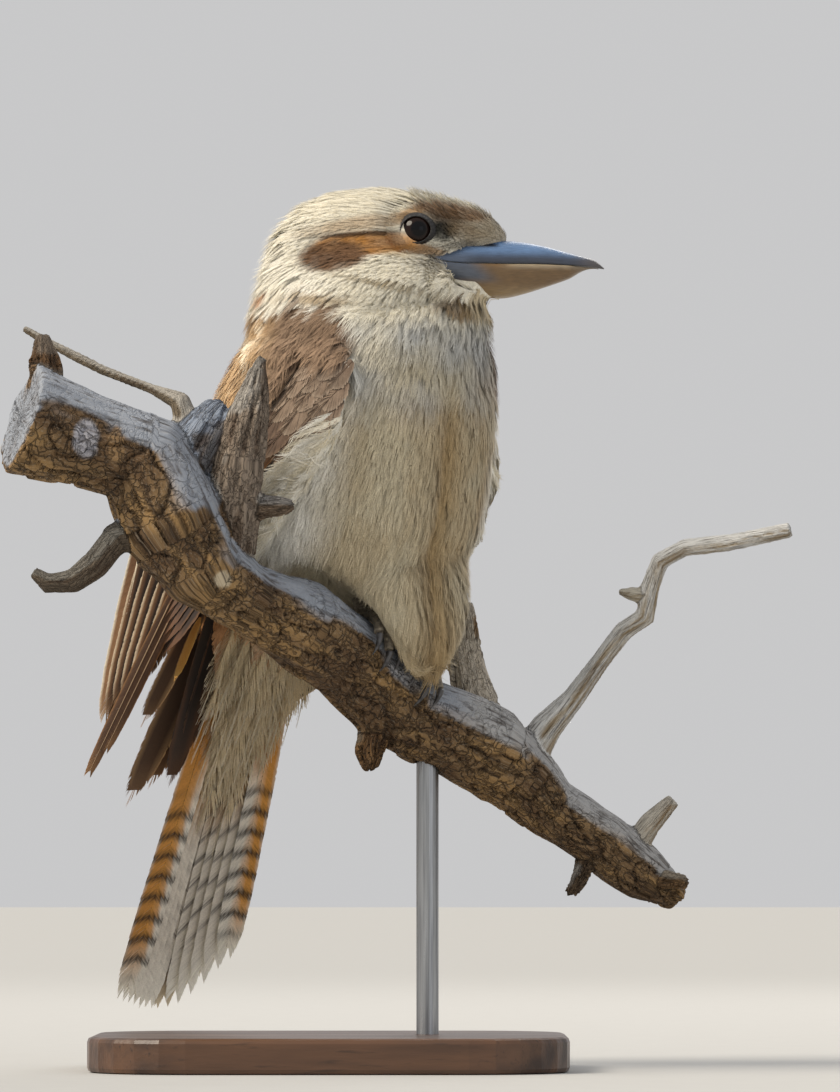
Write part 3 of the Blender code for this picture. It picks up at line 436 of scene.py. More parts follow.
def legs_of(line: Array) -> list[tuple[Array, Array, float, float]]:
    """Lists the straight legs of a line.

    Args:
        line: rows that start with X, Y and Z.

    Returns:
        Each leg's first row, last row, length and distance from the line's start.
    """
    legs, along = [], 0.0
    for first, second in zip(line, line[1:]):
        size = np.linalg.norm(second[:3] - first[:3])
        legs.append((first, second, size, along))
        along += size
    return legs


# Finishes


class Shader:
    """A material with its Principled shader and short ways to add nodes."""

    def __init__(self, name: str, **values: float) -> None:
        """Makes the material.

        Args:
            name: its name.
            values: fixed values of its shader's inputs, with _ for a space in their names.
        """
        self.material = bpy.data.materials.new(name)
        self.material.use_nodes = True
        self.tree = self.material.node_tree
        self.inputs = self.tree.nodes["Principled BSDF"].inputs
        for key, value in values.items():
            self.feed(self.inputs[key.replace("_", " ")], value)

    def feed(self, socket: NodeSocket, value: NodeSocket | float | tuple[float, ...]) -> None:
        """Links a socket to an input, or gives the input a fixed value.

        Args:
            socket: the input.
            value: the socket or the value.
        """
        if isinstance(value, NodeSocket):
            self.tree.links.new(value, socket)
        else:
            socket.default_value = value

    def node(self, kind: str, inputs: dict[str | int, object], **options: str) -> Node:
        """Adds a node.

        Args:
            kind: its kind, without the word that they all start with.
            inputs: sockets and fixed values by the name or number of the input.
            options: its own settings.

        Returns:
            The node.
        """
        made = self.tree.nodes.new("ShaderNode" + kind)
        for key, value in options.items():
            setattr(made, key, value)
        for key, value in inputs.items():
            self.feed(made.inputs[key], value)
        return made

    def maths(self, operation: str, *values: NodeSocket | float) -> NodeSocket:
        """Adds a sum of sockets and numbers."""
        return self.node("Math", dict(enumerate(values)), operation=operation).outputs[0]

    def read(self, name: str, key: str = "Color") -> NodeSocket:
        """Reads what the mesh holds under a name."""
        return self.node("Attribute", {}, attribute_name=name).outputs[key]

    def noise(self, scale: float, detail: float, vector: NodeSocket | None = None,
              stretch: tuple[float, float, float] = (1.0, 1.0, 1.0)) -> NodeSocket:
        """Adds a noise texture.

        Args:
            scale: turns of the noise in a metre.
            detail: how many finer layers it has.
            vector: where it is read, or the object's own place.
            stretch: how much each way is stretched.

        Returns:
            The noise's value.
        """
        source = vector or self.node("TexCoord", {}).outputs["Object"]
        sized = self.node("Mapping", {"Vector": source, "Scale": stretch}).outputs["Vector"]
        return self.node("TexNoise", {"Vector": sized, "Scale": scale, "Detail": detail}).outputs["Fac"]

    def spread(self, socket: NodeSocket, low: float, high: float, new_low: float, new_high: float) -> NodeSocket:
        """Maps the range of a value from low to high to a new one."""
        return self.node("MapRange", {"Value": socket, "From Min": low, "From Max": high, "To Min": new_low,
                                      "To Max": new_high}).outputs["Result"]

    def mix(self, factor: NodeSocket | float, first: NodeSocket | Colour, second: NodeSocket | Colour,
            mode: str = "MIX") -> NodeSocket:
        """Mixes two colours.

        Args:
            factor: the share of the second.
            first: a socket or a colour.
            second: a socket or a colour.
            mode: the way that they mix.

        Returns:
            The mixed colour.
        """
        first, second = ((*value, 1.0) if isinstance(value, tuple) else value for value in (first, second))
        return self.node("Mix", {"Factor": factor, 6: first, 7: second}, data_type="RGBA", blend_type=mode).outputs[2]

    def colour(self, socket: NodeSocket) -> None:
        """Links the base colour."""
        self.feed(self.inputs["Base Color"], socket)

    def fleck(self, fleck: NodeSocket, contrast: float) -> None:
        """Takes the base colour from the mesh, lighter and darker by a fleck.

        Args:
            fleck: the fleck's value.
            contrast: how much lighter or darker it gets.
        """
        shade = self.spread(fleck, 0.3, 0.7, 1.0 - contrast, 1.0 + contrast)
        grey = self.node("CombineColor", {"Red": shade, "Green": shade, "Blue": shade}).outputs["Color"]
        self.colour(self.mix(1.0, self.read(TINT), grey, "MULTIPLY"))

    def bump(self, height: NodeSocket, distance: float) -> None:
        """Raises the surface by a height, which stands out by a distance where it is one."""
        self.feed(self.inputs["Normal"], self.node("Bump", {"Height": height, "Distance": distance}).outputs["Normal"])


@dataclass(frozen=True)
class FeatherFinish:
    """Feathers that take their markings from the mesh."""

    name: str
    roughness: float = 0.72
    sheen: float = 0.18
    grain: float = 1600.0
    contrast: float = 0.16

    def make(self) -> Material:
        """Builds the finish.

        Returns:
            Its material.
        """
        shader = Shader(self.name, Roughness=self.roughness, Sheen_Weight=self.sheen, Sheen_Roughness=0.5,
                        Specular_IOR_Level=0.22)
        shader.fleck(shader.noise(self.grain, 3.0), self.contrast)
        return shader.material


@dataclass(frozen=True)
class HornFinish:
    """Bill, claw or toe: markings from the mesh with fine lines and a dull shine."""

    name: str
    roughness: float
    coat: float
    grain: float
    stretch: tuple[float, float, float]
    depth: float
    contrast: float

    def make(self) -> Material:
        """Builds the finish.

        Returns:
            Its material.
        """
        shader = Shader(self.name, Coat_Weight=self.coat, Coat_Roughness=0.28)
        lines = shader.noise(self.grain, 4.0, stretch=self.stretch)
        shader.fleck(lines, self.contrast)
        wear = shader.noise(self.grain * 0.3, 2.0, stretch=self.stretch)
        shader.feed(shader.inputs["Roughness"],
                    shader.spread(wear, 0.3, 0.7, self.roughness - 0.08, self.roughness + 0.12))
        shader.bump(lines, self.depth)
        return shader.material


@dataclass(frozen=True)
class EyeFinish:
    """A wet dark eye whose iris and pupil come from the mesh."""

    name: str = "eye_glass"

    def make(self) -> Material:
        """Builds the finish.

        Returns:
            Its material.
        """
        shader = Shader(self.name, Roughness=0.10, Specular_IOR_Level=0.16, Coat_Weight=0.18, Coat_Roughness=0.02,
                        IOR=1.42)
        fleck = shader.spread(shader.noise(2600.0, 3.0), 0.35, 0.75, 0.0, 0.5)
        shader.colour(shader.mix(fleck, shader.read(TINT), paint(22, 14, 10), "MULTIPLY"))
        return shader.material


@dataclass(frozen=True)
class BarkFinish:
    """Dead bark: its broad colours from the mesh, its fibres and cracks from grain along the branch."""

    name: str = "weathered_bark"
    fibre: float = 420.0
    flake: float = 230.0

    def make(self) -> Material:
        """Builds the finish.

        Returns:
            Its material.
        """
        shader = Shader(self.name, Roughness=0.82, Specular_IOR_Level=0.25)
        grain, rough = shader.read("grain", "Vector"), shader.read("rough", "Fac")
        fibre = shader.noise(self.fibre, 6.0, grain, (0.28, 1.6, 1.0))
        fine = shader.noise(self.fibre * 4.0, 4.0, grain, (0.4, 1.3, 1.0))
        sized = shader.node("Mapping", {"Vector": grain, "Scale": (0.55, 1.0, 1.0)}).outputs["Vector"]
        wander = shader.noise(120.0, 3.0, grain).node.outputs["Color"]
        drift = shader.node("VectorMath", {0: wander, "Scale": 0.020}, operation="SCALE").outputs["Vector"]
        moved = shader.node("VectorMath", {0: sized, 1: drift}, operation="ADD").outputs["Vector"]
        cells = shader.node("TexVoronoi", {"Vector": moved, "Scale": self.flake}, feature="DISTANCE_TO_EDGE")
        deep = shader.maths("MULTIPLY", shader.spread(cells.outputs["Distance"], 0.0, 0.12, 1.0, 0.0), rough)
        rows = shader.read(TINT)
        # The second blend darkens the bark deep in its cracks, as painted shade.
        for share, colour in ((shader.spread(fibre, 0.50, 0.34, 0.0, 0.72), paint(52, 40, 30)),
                              (shader.spread(deep, 0.10, 0.95, 0.0, 0.30), paint(50, 37, 27)),
                              (shader.spread(fine, 0.54, 0.74, 0.0, 0.22), paint(206, 196, 178))):
            rows = shader.mix(share, rows, colour)
        shader.colour(rows)
        height = shader.maths("MULTIPLY_ADD", fibre, shader.spread(rough, 0.0, 1.0, 0.45, 1.0),
                              shader.maths("MULTIPLY", fine, 0.22))
        shader.bump(shader.maths("SUBTRACT", height, deep), 0.0013)
        return shader.material


@dataclass(frozen=True)
class BoardFinish:
    """The stand's base: dark oiled hardwood with a long grain."""

    name: str = "oiled_hardwood"

    def make(self) -> Material:
        """Builds the finish.

        Returns:
            Its material.
        """
        shader = Shader(self.name, Coat_Weight=0.15)
        rings = shader.noise(26.0, 5.0, stretch=(0.35, 4.5, 3.0))
        pores = shader.noise(420.0, 3.0, stretch=(0.12, 2.2, 1.0))
        wood = shader.mix(shader.spread(rings, 0.34, 0.66, 0.0, 1.0), paint(96, 66, 44), paint(52, 33, 22))
        shader.colour(shader.mix(shader.spread(pores, 0.60, 0.74, 0.0, 0.65), wood, paint(28, 18, 12)))
        shader.feed(shader.inputs["Roughness"], shader.spread(rings, 0.3, 0.7, 0.36, 0.52))
        shader.bump(pores, 0.0002)
        return shader.material


@dataclass(frozen=True)
class RodFinish:
    """The stand's rod: brushed steel."""

    name: str = "brushed_steel"

    def make(self) -> Material:
        """Builds the finish.

        Returns:
            Its material.
        """
        shader = Shader(self.name, Metallic=1.0)
        lines = shader.noise(900.0, 3.0, stretch=(1.0, 1.0, 0.03))
        streak = shader.spread(lines, 0.3, 0.7, 0.0, 1.0)
        shader.colour(shader.mix(streak, paint(176, 178, 180), paint(132, 134, 138)))
        shader.feed(shader.inputs["Roughness"], shader.spread(lines, 0.3, 0.7, 0.26, 0.44))
        shader.bump(lines, 0.00006)
        return shader.material


# Markings


@dataclass(frozen=True)
class Mark:
    """A soft oval of colour on the side of the head, with its middle, half widths and turn in X and Z."""

    x: float
    z: float
    wide: float
    high: float
    colour: Colour
    strength: float
    turn: float
    soft: float

    def share(self, places: Array) -> Array:
        """Reads how much of the mark each place has.

        Args:
            places: rows of X, Y and Z.

        Returns:
            A share from 0 to 1 for each row.
        """
        angle = math.radians(self.turn)
        across, up = places[:, 0] - self.x, places[:, 2] - self.z
        first = (across * math.cos(angle) + up * math.sin(angle)) / self.wide
        second = (up * math.cos(angle) - across * math.sin(angle)) / self.high
        return (1.0 - ramp(np.sqrt(first**2 + second**2), 1.0 - self.soft, 1.0 + self.soft)) * self.strength


@dataclass
class Markings:
    """The pale, buff and brown pattern that skin and coat share.

    Each row of the head's marks has the place and half widths, the colour, and then the strength in
    hundredths, the turn in degrees and the softness in hundredths. The grey laid over the upper breast is painted
    shade.
    """

    CREAM = paint(204, 193, 166)
    CROWN = paint(234, 228, 210)
    WHITE = paint(240, 237, 227)
    BUFF = paint(172, 144, 98)
    PAINTED_SHADE = paint(186, 188, 188)
    MANTLE = paint(140, 116, 94)
    GOLD = paint(206, 172, 126)
    SPOT = paint(240, 228, 204)
    RUFOUS = paint(170, 110, 52)

    head: Table = (
        (636, 3352, 100, 68, 158, 142, 116, 85, -24, 40), (325, 3392, 78, 26, 150, 114, 72, 85, 28, 45),
        (478, 3410, 140, 36, 146, 108, 68, 95, -10, 40), (150, 3350, 250, 30, 172, 140, 98, 60, 9, 50),
        (470, 3366, 85, 42, 102, 78, 52, 85, -18, 50), (446, 3322, 52, 42, 38, 36, 28, 97, -8, 35),
        (535, 3320, 70, 40, 146, 124, 92, 70, -22, 50), (520, 3270, 70, 18, 96, 86, 72, 60, 10, 50),
        (150, 3264, 215, 48, 184, 130, 66, 100, 3, 18), (370, 3242, 80, 22, 178, 132, 74, 85, -6, 40),
        (18, 3214, 132, 62, 118, 86, 58, 100, 4, 20), (-10, 3196, 95, 34, 98, 70, 48, 55, 4, 50),
        (105, 3301, 185, 11, 82, 60, 40, 95, 4, 50), (270, 3222, 70, 14, 206, 186, 146, 50, -4, 60),
        (400, 3190, 70, 40, 176, 168, 150, 60, -10, 60), (250, 3082, 230, 10, 138, 118, 80, 80, -13, 70),
        (506, 2990, 85, 30, 132, 100, 50, 90, -12, 45), (-60, 3033, 140, 24, 166, 138, 92, 70, -6, 60),
        (-280, 3052, 20, 22, 176, 116, 60, 90, 0, 60), (630, 3005, 85, 45, 190, 168, 122, 70, 0, 50),
    )

    def marks(self) -> list[Mark]:
        """Reads the head's marks from their table."""
        return [Mark(*metres(row[:4]), paint(*row[4:7]), row[7] / 100.0, row[8], row[9] / 100.0) for row in self.head]

    def mantle(self, places: Array) -> Array:
        """Reads where the brown of the back and shoulders lies over the trunk.

        Args:
            places: rows of X, Y and Z.

        Returns:
            A share from 0 to 1 for each row.
        """
        forward, left, height = to_body(places)
        aside = np.abs(left)
        edge = 0.2990 + 0.0016 * np.sin(forward * 900.0) + 0.0012 * np.sin(aside * 1400.0)
        front = 0.0520 - 0.7 * np.maximum(height - 0.286, 0.0) + 0.0100 * ramp(aside, 0.039, 0.045)
        side = ramp(aside, 0.024, 0.030) * (1.0 - ramp(forward, front - 0.004, front + 0.001))
        low = 0.262 - 0.070 * (1.0 - ramp(forward, 0.004, 0.034))
        side = side * (1.0 - ramp(height, edge - 0.002, edge + 0.002)) * ramp(height, low, low + 0.006)
        behind = (1.0 - ramp(forward, -0.036, -0.022)) * (1.0 - ramp(height, edge - 0.003, edge + 0.002))
        return np.maximum(side, behind * ramp(height, 0.17, 0.19))

    def colours(self, places: Array) -> Array:
        """Reads the pattern.

        Args:
            places: rows of X, Y and Z.

        Returns:
            Rows of linear colour.
        """
        forward, left, height = to_body(places)
        aside = np.abs(left)
        wide, fine = cloud(places, 60.0, 3.1), cloud(places, 190.0, 8.4)
        # breast: where the grey painted shade falls over the front of the upper breast
        breast = ramp(height, 0.248, 0.268) * (1.0 - ramp(height, 0.288, 0.298)) * ramp(forward, 0.0, 0.035)
        groove = np.exp(-(((left - 0.006 - (0.262 - height) * 0.05) / 0.0075) ** 2))
        groove = groove * ramp(forward, 0.0, 0.03) * (1.0 - ramp(height, 0.256, 0.270))
        patch = np.clip(0.5 + 1.6 * wide + 0.6 * fine, 0.0, 1.0)
        warm = ramp(left, 0.004, 0.045) * ramp(forward, -0.01, 0.02) * (1.0 - ramp(height, 0.265, 0.290))
        vent = (1.0 - ramp(height, 0.165, 0.178)) * (1.0 - ramp(forward, -0.01, 0.02))
        flank = ramp(aside, 0.030, 0.046) * ramp(height, 0.170, 0.200)
        mantle = self.mantle(places)
        gold = mantle * ramp(-forward, -0.026, 0.000) * ramp(aside, 0.026, 0.036) * np.clip(0.85 + wide, 0.0, 1.0)
        spot = ramp(cloud(places, 150.0, 5.2), 0.16, 0.34) * ramp(forward, -0.026, -0.014) * ramp(height, 0.262, 0.270)
        rump = (1.0 - ramp(forward, -0.05, -0.03)) * (1.0 - ramp(height, 0.190, 0.210))
        on_head = ramp(height, 0.290, 0.297)
        uneven = np.clip(0.95 + wide * 0.2 + fine * 0.3, 0.0, 1.0)
        rows = painted(
            len(places), self.CREAM,
            (self.CROWN, ramp(height, 0.272, 0.296)),
            # grey painted shade over the front of the upper breast
            (self.PAINTED_SHADE, breast * np.clip(0.55 + wide, 0.0, 0.9)),
            (self.BUFF, groove * 0.80),
            (self.BUFF, warm * (0.25 + 0.55 * patch)),
            (self.BUFF, (1.0 - ramp(height, 0.255, 0.275)) * patch * 0.28),
            (self.WHITE, vent * 0.6),
            (self.WHITE, flank * np.clip(0.75 + wide, 0.0, 1.0)),
            (self.MANTLE, mantle),
            (self.GOLD, gold * 0.85 * ramp(height, 0.232, 0.256)),
            (self.SPOT, gold * spot * (1.0 - ramp(forward, 0.010, 0.020)) * 0.9),
            (self.RUFOUS, rump * 0.8),
            *((mark.colour, mark.share(places) * on_head * uneven) for mark in self.marks()),
        )
        return rows * (1.0 + 0.06 * wide + 0.05 * fine)[:, None]


# Body


@dataclass
class Strokes:
    """The lie of the coat: rows of a place and, in hundredths, the way that the feathers point there."""

    reach: float = 0.016
    head: Table = (
        (700, 0, 3330, -70, 0, 70), (580, 100, 3390, -85, 10, 45), (440, 100, 3470, -100, 10, 25),
        (150, 0, 3510, -100, 0, 2), (-60, 0, 3470, -97, 0, -10), (-180, 0, 3380, -85, 0, -45),
        (-220, 0, 3220, -50, 0, -85), (340, 180, 3430, -100, 10, 10), (180, 220, 3360, -100, 10, -2),
        (0, 250, 3300, -100, 5, -10), (-120, 220, 3240, -90, 0, -40), (500, 140, 3310, -95, 35, 5),
        (400, 180, 3260, -100, 20, -8), (300, 200, 3190, -95, 15, -25), (120, 230, 3130, -85, 10, -50),
        (-100, 230, 3120, -60, 5, -80), (460, 150, 3140, -85, 10, -45), (620, 40, 3090, -35, 0, -90),
        (500, 200, 3040, 10, 5, -100), (300, 300, 3030, -15, 5, -100), (50, 350, 3020, -35, 5, -95),
        (-250, 200, 3030, -40, 0, -95),
    )
    body: Table = (
        (660, 0, 2780, 15, 0, -100), (550, 340, 2720, 5, 30, -100), (300, 560, 2660, -30, 25, -90),
        (620, 0, 2400, 0, 0, -100), (460, 380, 2380, -10, 18, -100), (120, 600, 2320, -45, 5, -90),
        (540, 0, 2050, -12, 0, -100), (380, 360, 2000, -20, 0, -100), (0, 560, 1980, -45, -5, -90),
        (400, 100, 1680, 0, 0, -100), (0, 200, 1800, -35, 0, -95), (-600, 0, 2620, -30, 0, -95),
        (-450, 300, 2850, -45, 5, -90), (-640, 0, 2150, -35, 0, -95), (-500, 200, 1700, -42, 0, -91),
        (-800, 0, 1400, -40, 0, -92),
    )

    def arrays(self) -> tuple[Array, Array]:
        """Gathers every stroke, on both sides of the bird.

        Returns:
            The strokes' places and their directions.
        """
        places, ways = [], []
        for table, settle, turn in ((self.head, lambda rows: rows + (0.0, HEAD_Y, 0.0), np.copy),
                                    (self.body, in_body, turn_body)):
            rows = np.array(table)
            for flip in (-1.0, 1.0):
                mirror = np.array((1.0, flip, 1.0))
                places.append(settle(metres(rows[:, :3]) * mirror))
                ways.append(turn(rows[:, 3:] / 100.0 * mirror))
        return np.concatenate(places), unit(np.concatenate(ways))

    def lie(self, places: Array, normals: Array) -> Array:
        """Reads the way that the coat lies.

        Args:
            places: rows of X, Y and Z.
            normals: the surface's normals there.

        Returns:
            Unit directions along the surface.
        """
        sources, ways = self.arrays()
        gap = ((places[:, None, :] - sources[None, :, :]) ** 2).sum(axis=2)
        weight = np.exp(-gap / (2.0 * self.reach**2)) + 1e-4 / (1.0 + gap / self.reach**2) ** 2
        way = weight @ ways
        return unit(way - normals * (way * normals).sum(axis=1, keepdims=True))


@dataclass
class Flesh:
    """The bird's skin: one closed surface under the whole coat.

    Its forms are given by rows. Head: X, Z, half height and half width. Trunk: Z, F, half depth and half width.
    Nape: Z, X, Y, half width and half depth.
    """

    nodes: tuple[str, ...] = ("head", "neck", "torso", "leg_right", "leg_left")
    voxel: float = 0.0012
    swell: float = 0.0004
    groove: float = 0.0028
    eye: tuple[float, float, float] = (0.0344, 0.0158, 0.3324)
    head: tuple[Table, ...] = (
        (
            (-580, 3210, 30, 40), (-545, 3210, 110, 125), (-480, 3225, 200, 180), (-360, 3230, 260, 232),
            (-180, 3235, 275, 252), (-20, 3245, 255, 220), (80, 3265, 210, 175), (150, 3280, 160, 130),
            (190, 3290, 80, 70),
        ),
        (
            (0, 3350, 128, 170), (120, 3350, 112, 132), (220, 3338, 96, 102), (290, 3322, 68, 76),
            (330, 3310, 36, 50), (352, 3304, 12, 22),
        ),
        (
            (-60, 3115, 110, 170), (100, 3110, 85, 130), (220, 3085, 58, 90), (310, 3070, 30, 48),
            (350, 3066, 10, 18),
        ),
    )
    trunk: Table = (
        (3080, 220, 300, 340), (2970, 190, 420, 460), (2840, 130, 500, 530), (2680, 70, 560, 570),
        (2500, 20, 590, 600), (2320, -30, 600, 600), (2140, -70, 590, 580),
    )
    nape: Table = (
        (3300, -200, -200, 260, 200), (3200, -200, -200, 380, 290), (3090, -185, -185, 460, 360),
        (3000, -195, -165, 480, 400), (2900, -205, -145, 490, 440), (2780, -215, -125, 470, 450),
        (2660, -220, -110, 360, 340),
    )
    spine: Table = (
        (750, -200, 3220), (400, -200, 3250), (100, -200, 3220), (0, -180, 3000), (60, 0, 2600), (60, 40, 2150),
        (-200, 400, 1750), (-400, 720, 1200), (-520, 880, 800),
    )
    gape_top: Table = (
        (399, 439, 573, 672, 720), (3225, 3240, 3258, 3290, 3340),
    )
    gape_low: Table = (
        (399, 462, 474, 553, 687, 720), (3208, 3192, 3112, 3096, 3060, 2900),
    )
    mesh: Mesh | None = None
    tree: BVHTree | None = None
    points: Array = field(default_factory=lambda: np.zeros((0, 3)))
    normals: Array = field(default_factory=lambda: np.zeros((0, 3)))

    def forms(self) -> list[Mesh]:
        """Makes the closed forms of head, neck and trunk, with no room cut in them.

        Returns:
            The forms' meshes.
        """
        sides = 40
        cos, sin = np.cos(swing(sides)), np.sin(swing(sides))
        made = [
            lofted("head_form", [
                np.stack((np.full(sides, x + HEAD_SHIFT), HEAD_Y + cos * wide, z + sin * high), axis=1)
                for x, z, high, wide in metres(sections)
            ]) for sections in self.head
        ]
        made.append(lofted("trunk_form", [
            in_body(np.stack((ahead + cos * deep, sin * wide, np.full(sides, z)), axis=1))
            for z, ahead, deep, wide in metres(self.trunk)
        ]))
        made.append(lofted("neck_form", [
            np.stack((x + HEAD_SHIFT + cos * wide, y + sin * deep, np.full(sides, z)), axis=1)
            for z, x, y, wide, deep in metres(self.nape)
        ]))
        return made

    def depth(self, places: Array) -> Array:
        """Reads how deep the coat is.

        Args:
            places: rows of X, Y and Z.

        Returns:
            A depth in metres for each row.
        """
        depth = np.full(len(places), 0.0050)
        height, ahead = places[:, 2], places[:, 0]
        on_head = ramp(height, 0.298, 0.312)
        depth = depth * (1.0 - on_head) + 0.0024 * on_head
        nape = (1.0 - ramp(ahead, -0.012, 0.006)) * ramp(height, 0.300, 0.320)
        depth = depth + 0.0010 * nape
        face = on_head * ramp(ahead, 0.040, 0.058)
        depth = depth * (1.0 - face) + 0.0007 * face
        for flip in (-1.0, 1.0):
            eye = np.array((self.eye[0], HEAD_Y + flip * self.eye[1], self.eye[2]))
            near = 1.0 - ramp(np.linalg.norm(places - eye, axis=1), 0.008, 0.014)
            depth = depth * (1.0 - near) + 0.0009 * near
        low = 1.0 - ramp(height, 0.185, 0.205)
        legs = low * (1.0 - ramp(np.abs(ahead - 0.015), 0.016, 0.026)) * (1.0 - ramp(places[:, 1], 0.010, 0.02))
        return depth * (1.0 - 0.6 * legs)

    def sculpt(self, points: Array) -> Array:
        """Reads how far the plumage sinks or stands.

        Args:
            points: rows of X, Y and Z.

        Returns:
            A rise in metres for each row.
        """
        forward, left, height = to_body(points)
        line = left - 0.006 - (0.262 - height) * 0.05
        front = ramp(forward, 0.005, 0.03) * (1.0 - ramp(height, 0.258, 0.274)) * ramp(height, 0.160, 0.185)
        rise = -self.groove * np.exp(-((line / 0.0055) ** 2)) * front
        rise = rise + 0.0012 * np.exp(-(((np.abs(line) - 0.017) / 0.010) ** 2)) * front
        throat = np.exp(-(((points[:, 2] - 0.3035 - (points[:, 0] - 0.04) * 0.10) / 0.0028) ** 2))
        rise = rise - 0.0022 * throat * ramp(points[:, 0], 0.012, 0.035)
        rise = rise + 0.0007 * cloud(points, 42.0, 2.0) + 0.0005 * cloud(points, 95.0, 5.0)
        return rise * (1.0 - ramp(height, 0.312, 0.322))

    def bay(self, points: Array) -> Array:
        """Draws the skin in round the bill's root, so that the horn stands clear of the feathers.

        Args:
            points: the skin's rows of X, Y and Z.

        Returns:
            The rows with the bay in them.
        """
        x, z = points[:, 0], points[:, 2]
        top, low = np.interp(x, *metres(self.gape_top)), np.interp(x, *metres(self.gape_low))
        inside = ramp(x, 0.0385, 0.0405) * (1.0 - ramp(z, top - 0.0003, top + 0.0006))
        inside = inside * ramp(z, low - 0.0008, low + 0.0003)
        half = np.interp(x - HEAD_SHIFT, *metres(Bill.sections)[:, (0, 4)].T) - 0.0022
        aside = points[:, 1] - HEAD_Y
        drawn = np.sign(aside) * np.minimum(np.abs(aside), np.maximum(half, 0.0005))
        rows = points.copy()
        rows[:, 1] = HEAD_Y + aside + (drawn - aside) * inside
        return rows

    def build(self, fillers: list[Mesh]) -> None:
        """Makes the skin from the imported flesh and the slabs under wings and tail.

        Args:
            fillers: closed meshes that the skin takes in, first those of the wings.
        """
        parts = [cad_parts[name].data for name in self.nodes[1:]] + fillers + self.forms()
        mesh = remeshed("skin", parts, self.voxel, self.swell)
        edges = edges_of(mesh)
        points = relaxed(points_of(mesh), edges, 6)
        move(mesh, points)
        normals = unit(relaxed(normals_of(mesh), edges, 8))
        depth = self.depth(points)
        for filler in fillers[:2]:
            tree = tree_of(filler)
            near = np.array([tree.find_nearest(Vector(place), 0.0016)[3] is not None for place in points.tolist()])
            depth = np.where(near, 0.0012, depth)
        inward = relaxed(depth, edges, 5) - self.sculpt(points)
        points = self.bay(relaxed(points - normals * inward[:, None], edges, 2))
        move(mesh, points)
        self.mesh, self.points, self.normals = mesh, points, unit(relaxed(normals_of(mesh), edges, 2))
        mesh.calc_loop_triangles()
        self.triangles = rows_of(mesh.loop_triangles, "vertices", 3, np.int32)
        self.tree = BVHTree.FromPolygons(points.tolist(), self.triangles.tolist())

    def unwrap(self, places: Array) -> Array:
        """Reads U, round the body, and V, along it.

        Args:
            places: rows of X, Y and Z.

        Returns:
            Rows of U and V, both from 0 to 1.
        """
        line = metres(self.spine)
        best = np.full(len(places), 1e9)
        along, turn = np.zeros(len(places)), np.zeros(len(places))
        total = np.linalg.norm(np.diff(line, axis=0), axis=1).sum()
        for first, second, size, start in legs_of(line):
            way = second - first
            t = np.clip(((places - first) @ way) / size**2, 0.0, 1.0)
            gap = places - first - t[:, None] * way
            near = (gap**2).sum(axis=1)
            side = unit(np.cross(way, (0.31, -0.95, 0.0)))
            other = unit(np.cross(way, side))
            closer = near < best
            best = np.where(closer, near, best)
            along = np.where(closer, (start + t * size) / total, along)
            turn = np.where(closer, np.arctan2(gap @ side, gap @ other), turn)
        return np.stack((0.03 + 0.86 * (turn / (2.0 * math.pi) + 0.5), 0.03 + 0.94 * along), axis=1)

    def dress(self, markings: Markings) -> Object:
        """Colours the skin and gives it a map with one seam.

        Args:
            markings: the pattern that skin and coat share.

        Returns:
            The skin.
        """
        # The skin takes the coat's markings 8 per cent darker, as painted shade under the feathers.
        set_tint(self.mesh, markings.colours(self.points) * 0.92)
        flat = self.unwrap(self.points)[corners_of(self.mesh)]
        sizes = rows_of(self.mesh.polygons, "loop_total", 1, np.int32)[:, 0]
        owner = np.repeat(np.arange(len(sizes)), sizes)
        high = np.full(len(sizes), -1.0)
        np.maximum.at(high, owner, flat[:, 0])
        flat[:, 0] += np.where(high[owner] - flat[:, 0] > 0.43, 0.86, 0.0)
        flat[:, 0] = np.minimum(flat[:, 0], 0.995)
        set_corner_map(self.mesh, flat)
        self.mesh.polygons.foreach_set("use_smooth", np.ones(len(sizes), bool))
        return put("skin", self.mesh, FeatherFinish("downy_skin", 0.85, 0.1, 700.0, 0.22).make())


class Tuft:
    """One small feather in its own terms: a short vane and the barbs that fray its edge."""

    def __init__(self, rng: Random, patch: "Patch") -> None:
        """Draws the feather.

        Args:
            rng: the source of its small differences.
            patch: the region that it is for.
        """
        points: list[tuple[float, ...]] = []
        for t, half in ((0.0, 0.24), (0.30, 0.52), (0.60, 0.50), (0.86, 0.14)):
            half *= patch.vane
            points += [(t, -half, -0.12 * half, 0.0, 0.0), (t, half, -0.12 * half, 0.0, 0.0)]
        quads = [(k, k + 1, k + 3, k + 2) for k in (0, 2, 4)]
        sides = []
        for flip in (-1.0, 1.0):
            for k in range(patch.barbs):
                t = 0.16 + 0.74 * (k + rng.uniform(0.1, 0.9)) / patch.barbs
                reach = rng.uniform(0.28, 0.48) * (1.0 - 0.25 * t)
                wide = (1.0 - 0.78 * max(0.0, t - 0.35) / 0.65) * rng.uniform(0.65, 1.15) * patch.open_tip
                rise = rng.uniform(-0.06, 0.14)
                start = len(points)
                for share, out, half in ((0.0, 0.0, 1.0), (0.5, 0.62, 0.8), (1.0, 1.0, 0.0)):
                    place = (t + reach * share, flip * wide * out, rise * share - 0.18 * (wide * out) ** 2)
                    points.append((*place, -half, 0.4 * half * flip))
                    if half:
                        points.append((*place, half, -0.4 * half * flip))
                quads.append((start, start + 1, start + 3, start + 2))
                sides.append((start + 2, start + 3, start + 4))
        self.points, self.quads, self.sides = np.array(points), np.array(quads), np.array(sides)
        self.faces = 2 * len(quads) + len(sides)


@dataclass(frozen=True)
class Patch:
    """One region of the coat: where it grows and how its feathers look."""

    name: str
    spacing: float
    length: float
    width: float
    barb: float
    barbs: int
    stand: float
    wild: float
    streak: float = 0.0
    open_tip: float = 1.25
    fringe: float = 0.0
    vane: float = 1.0


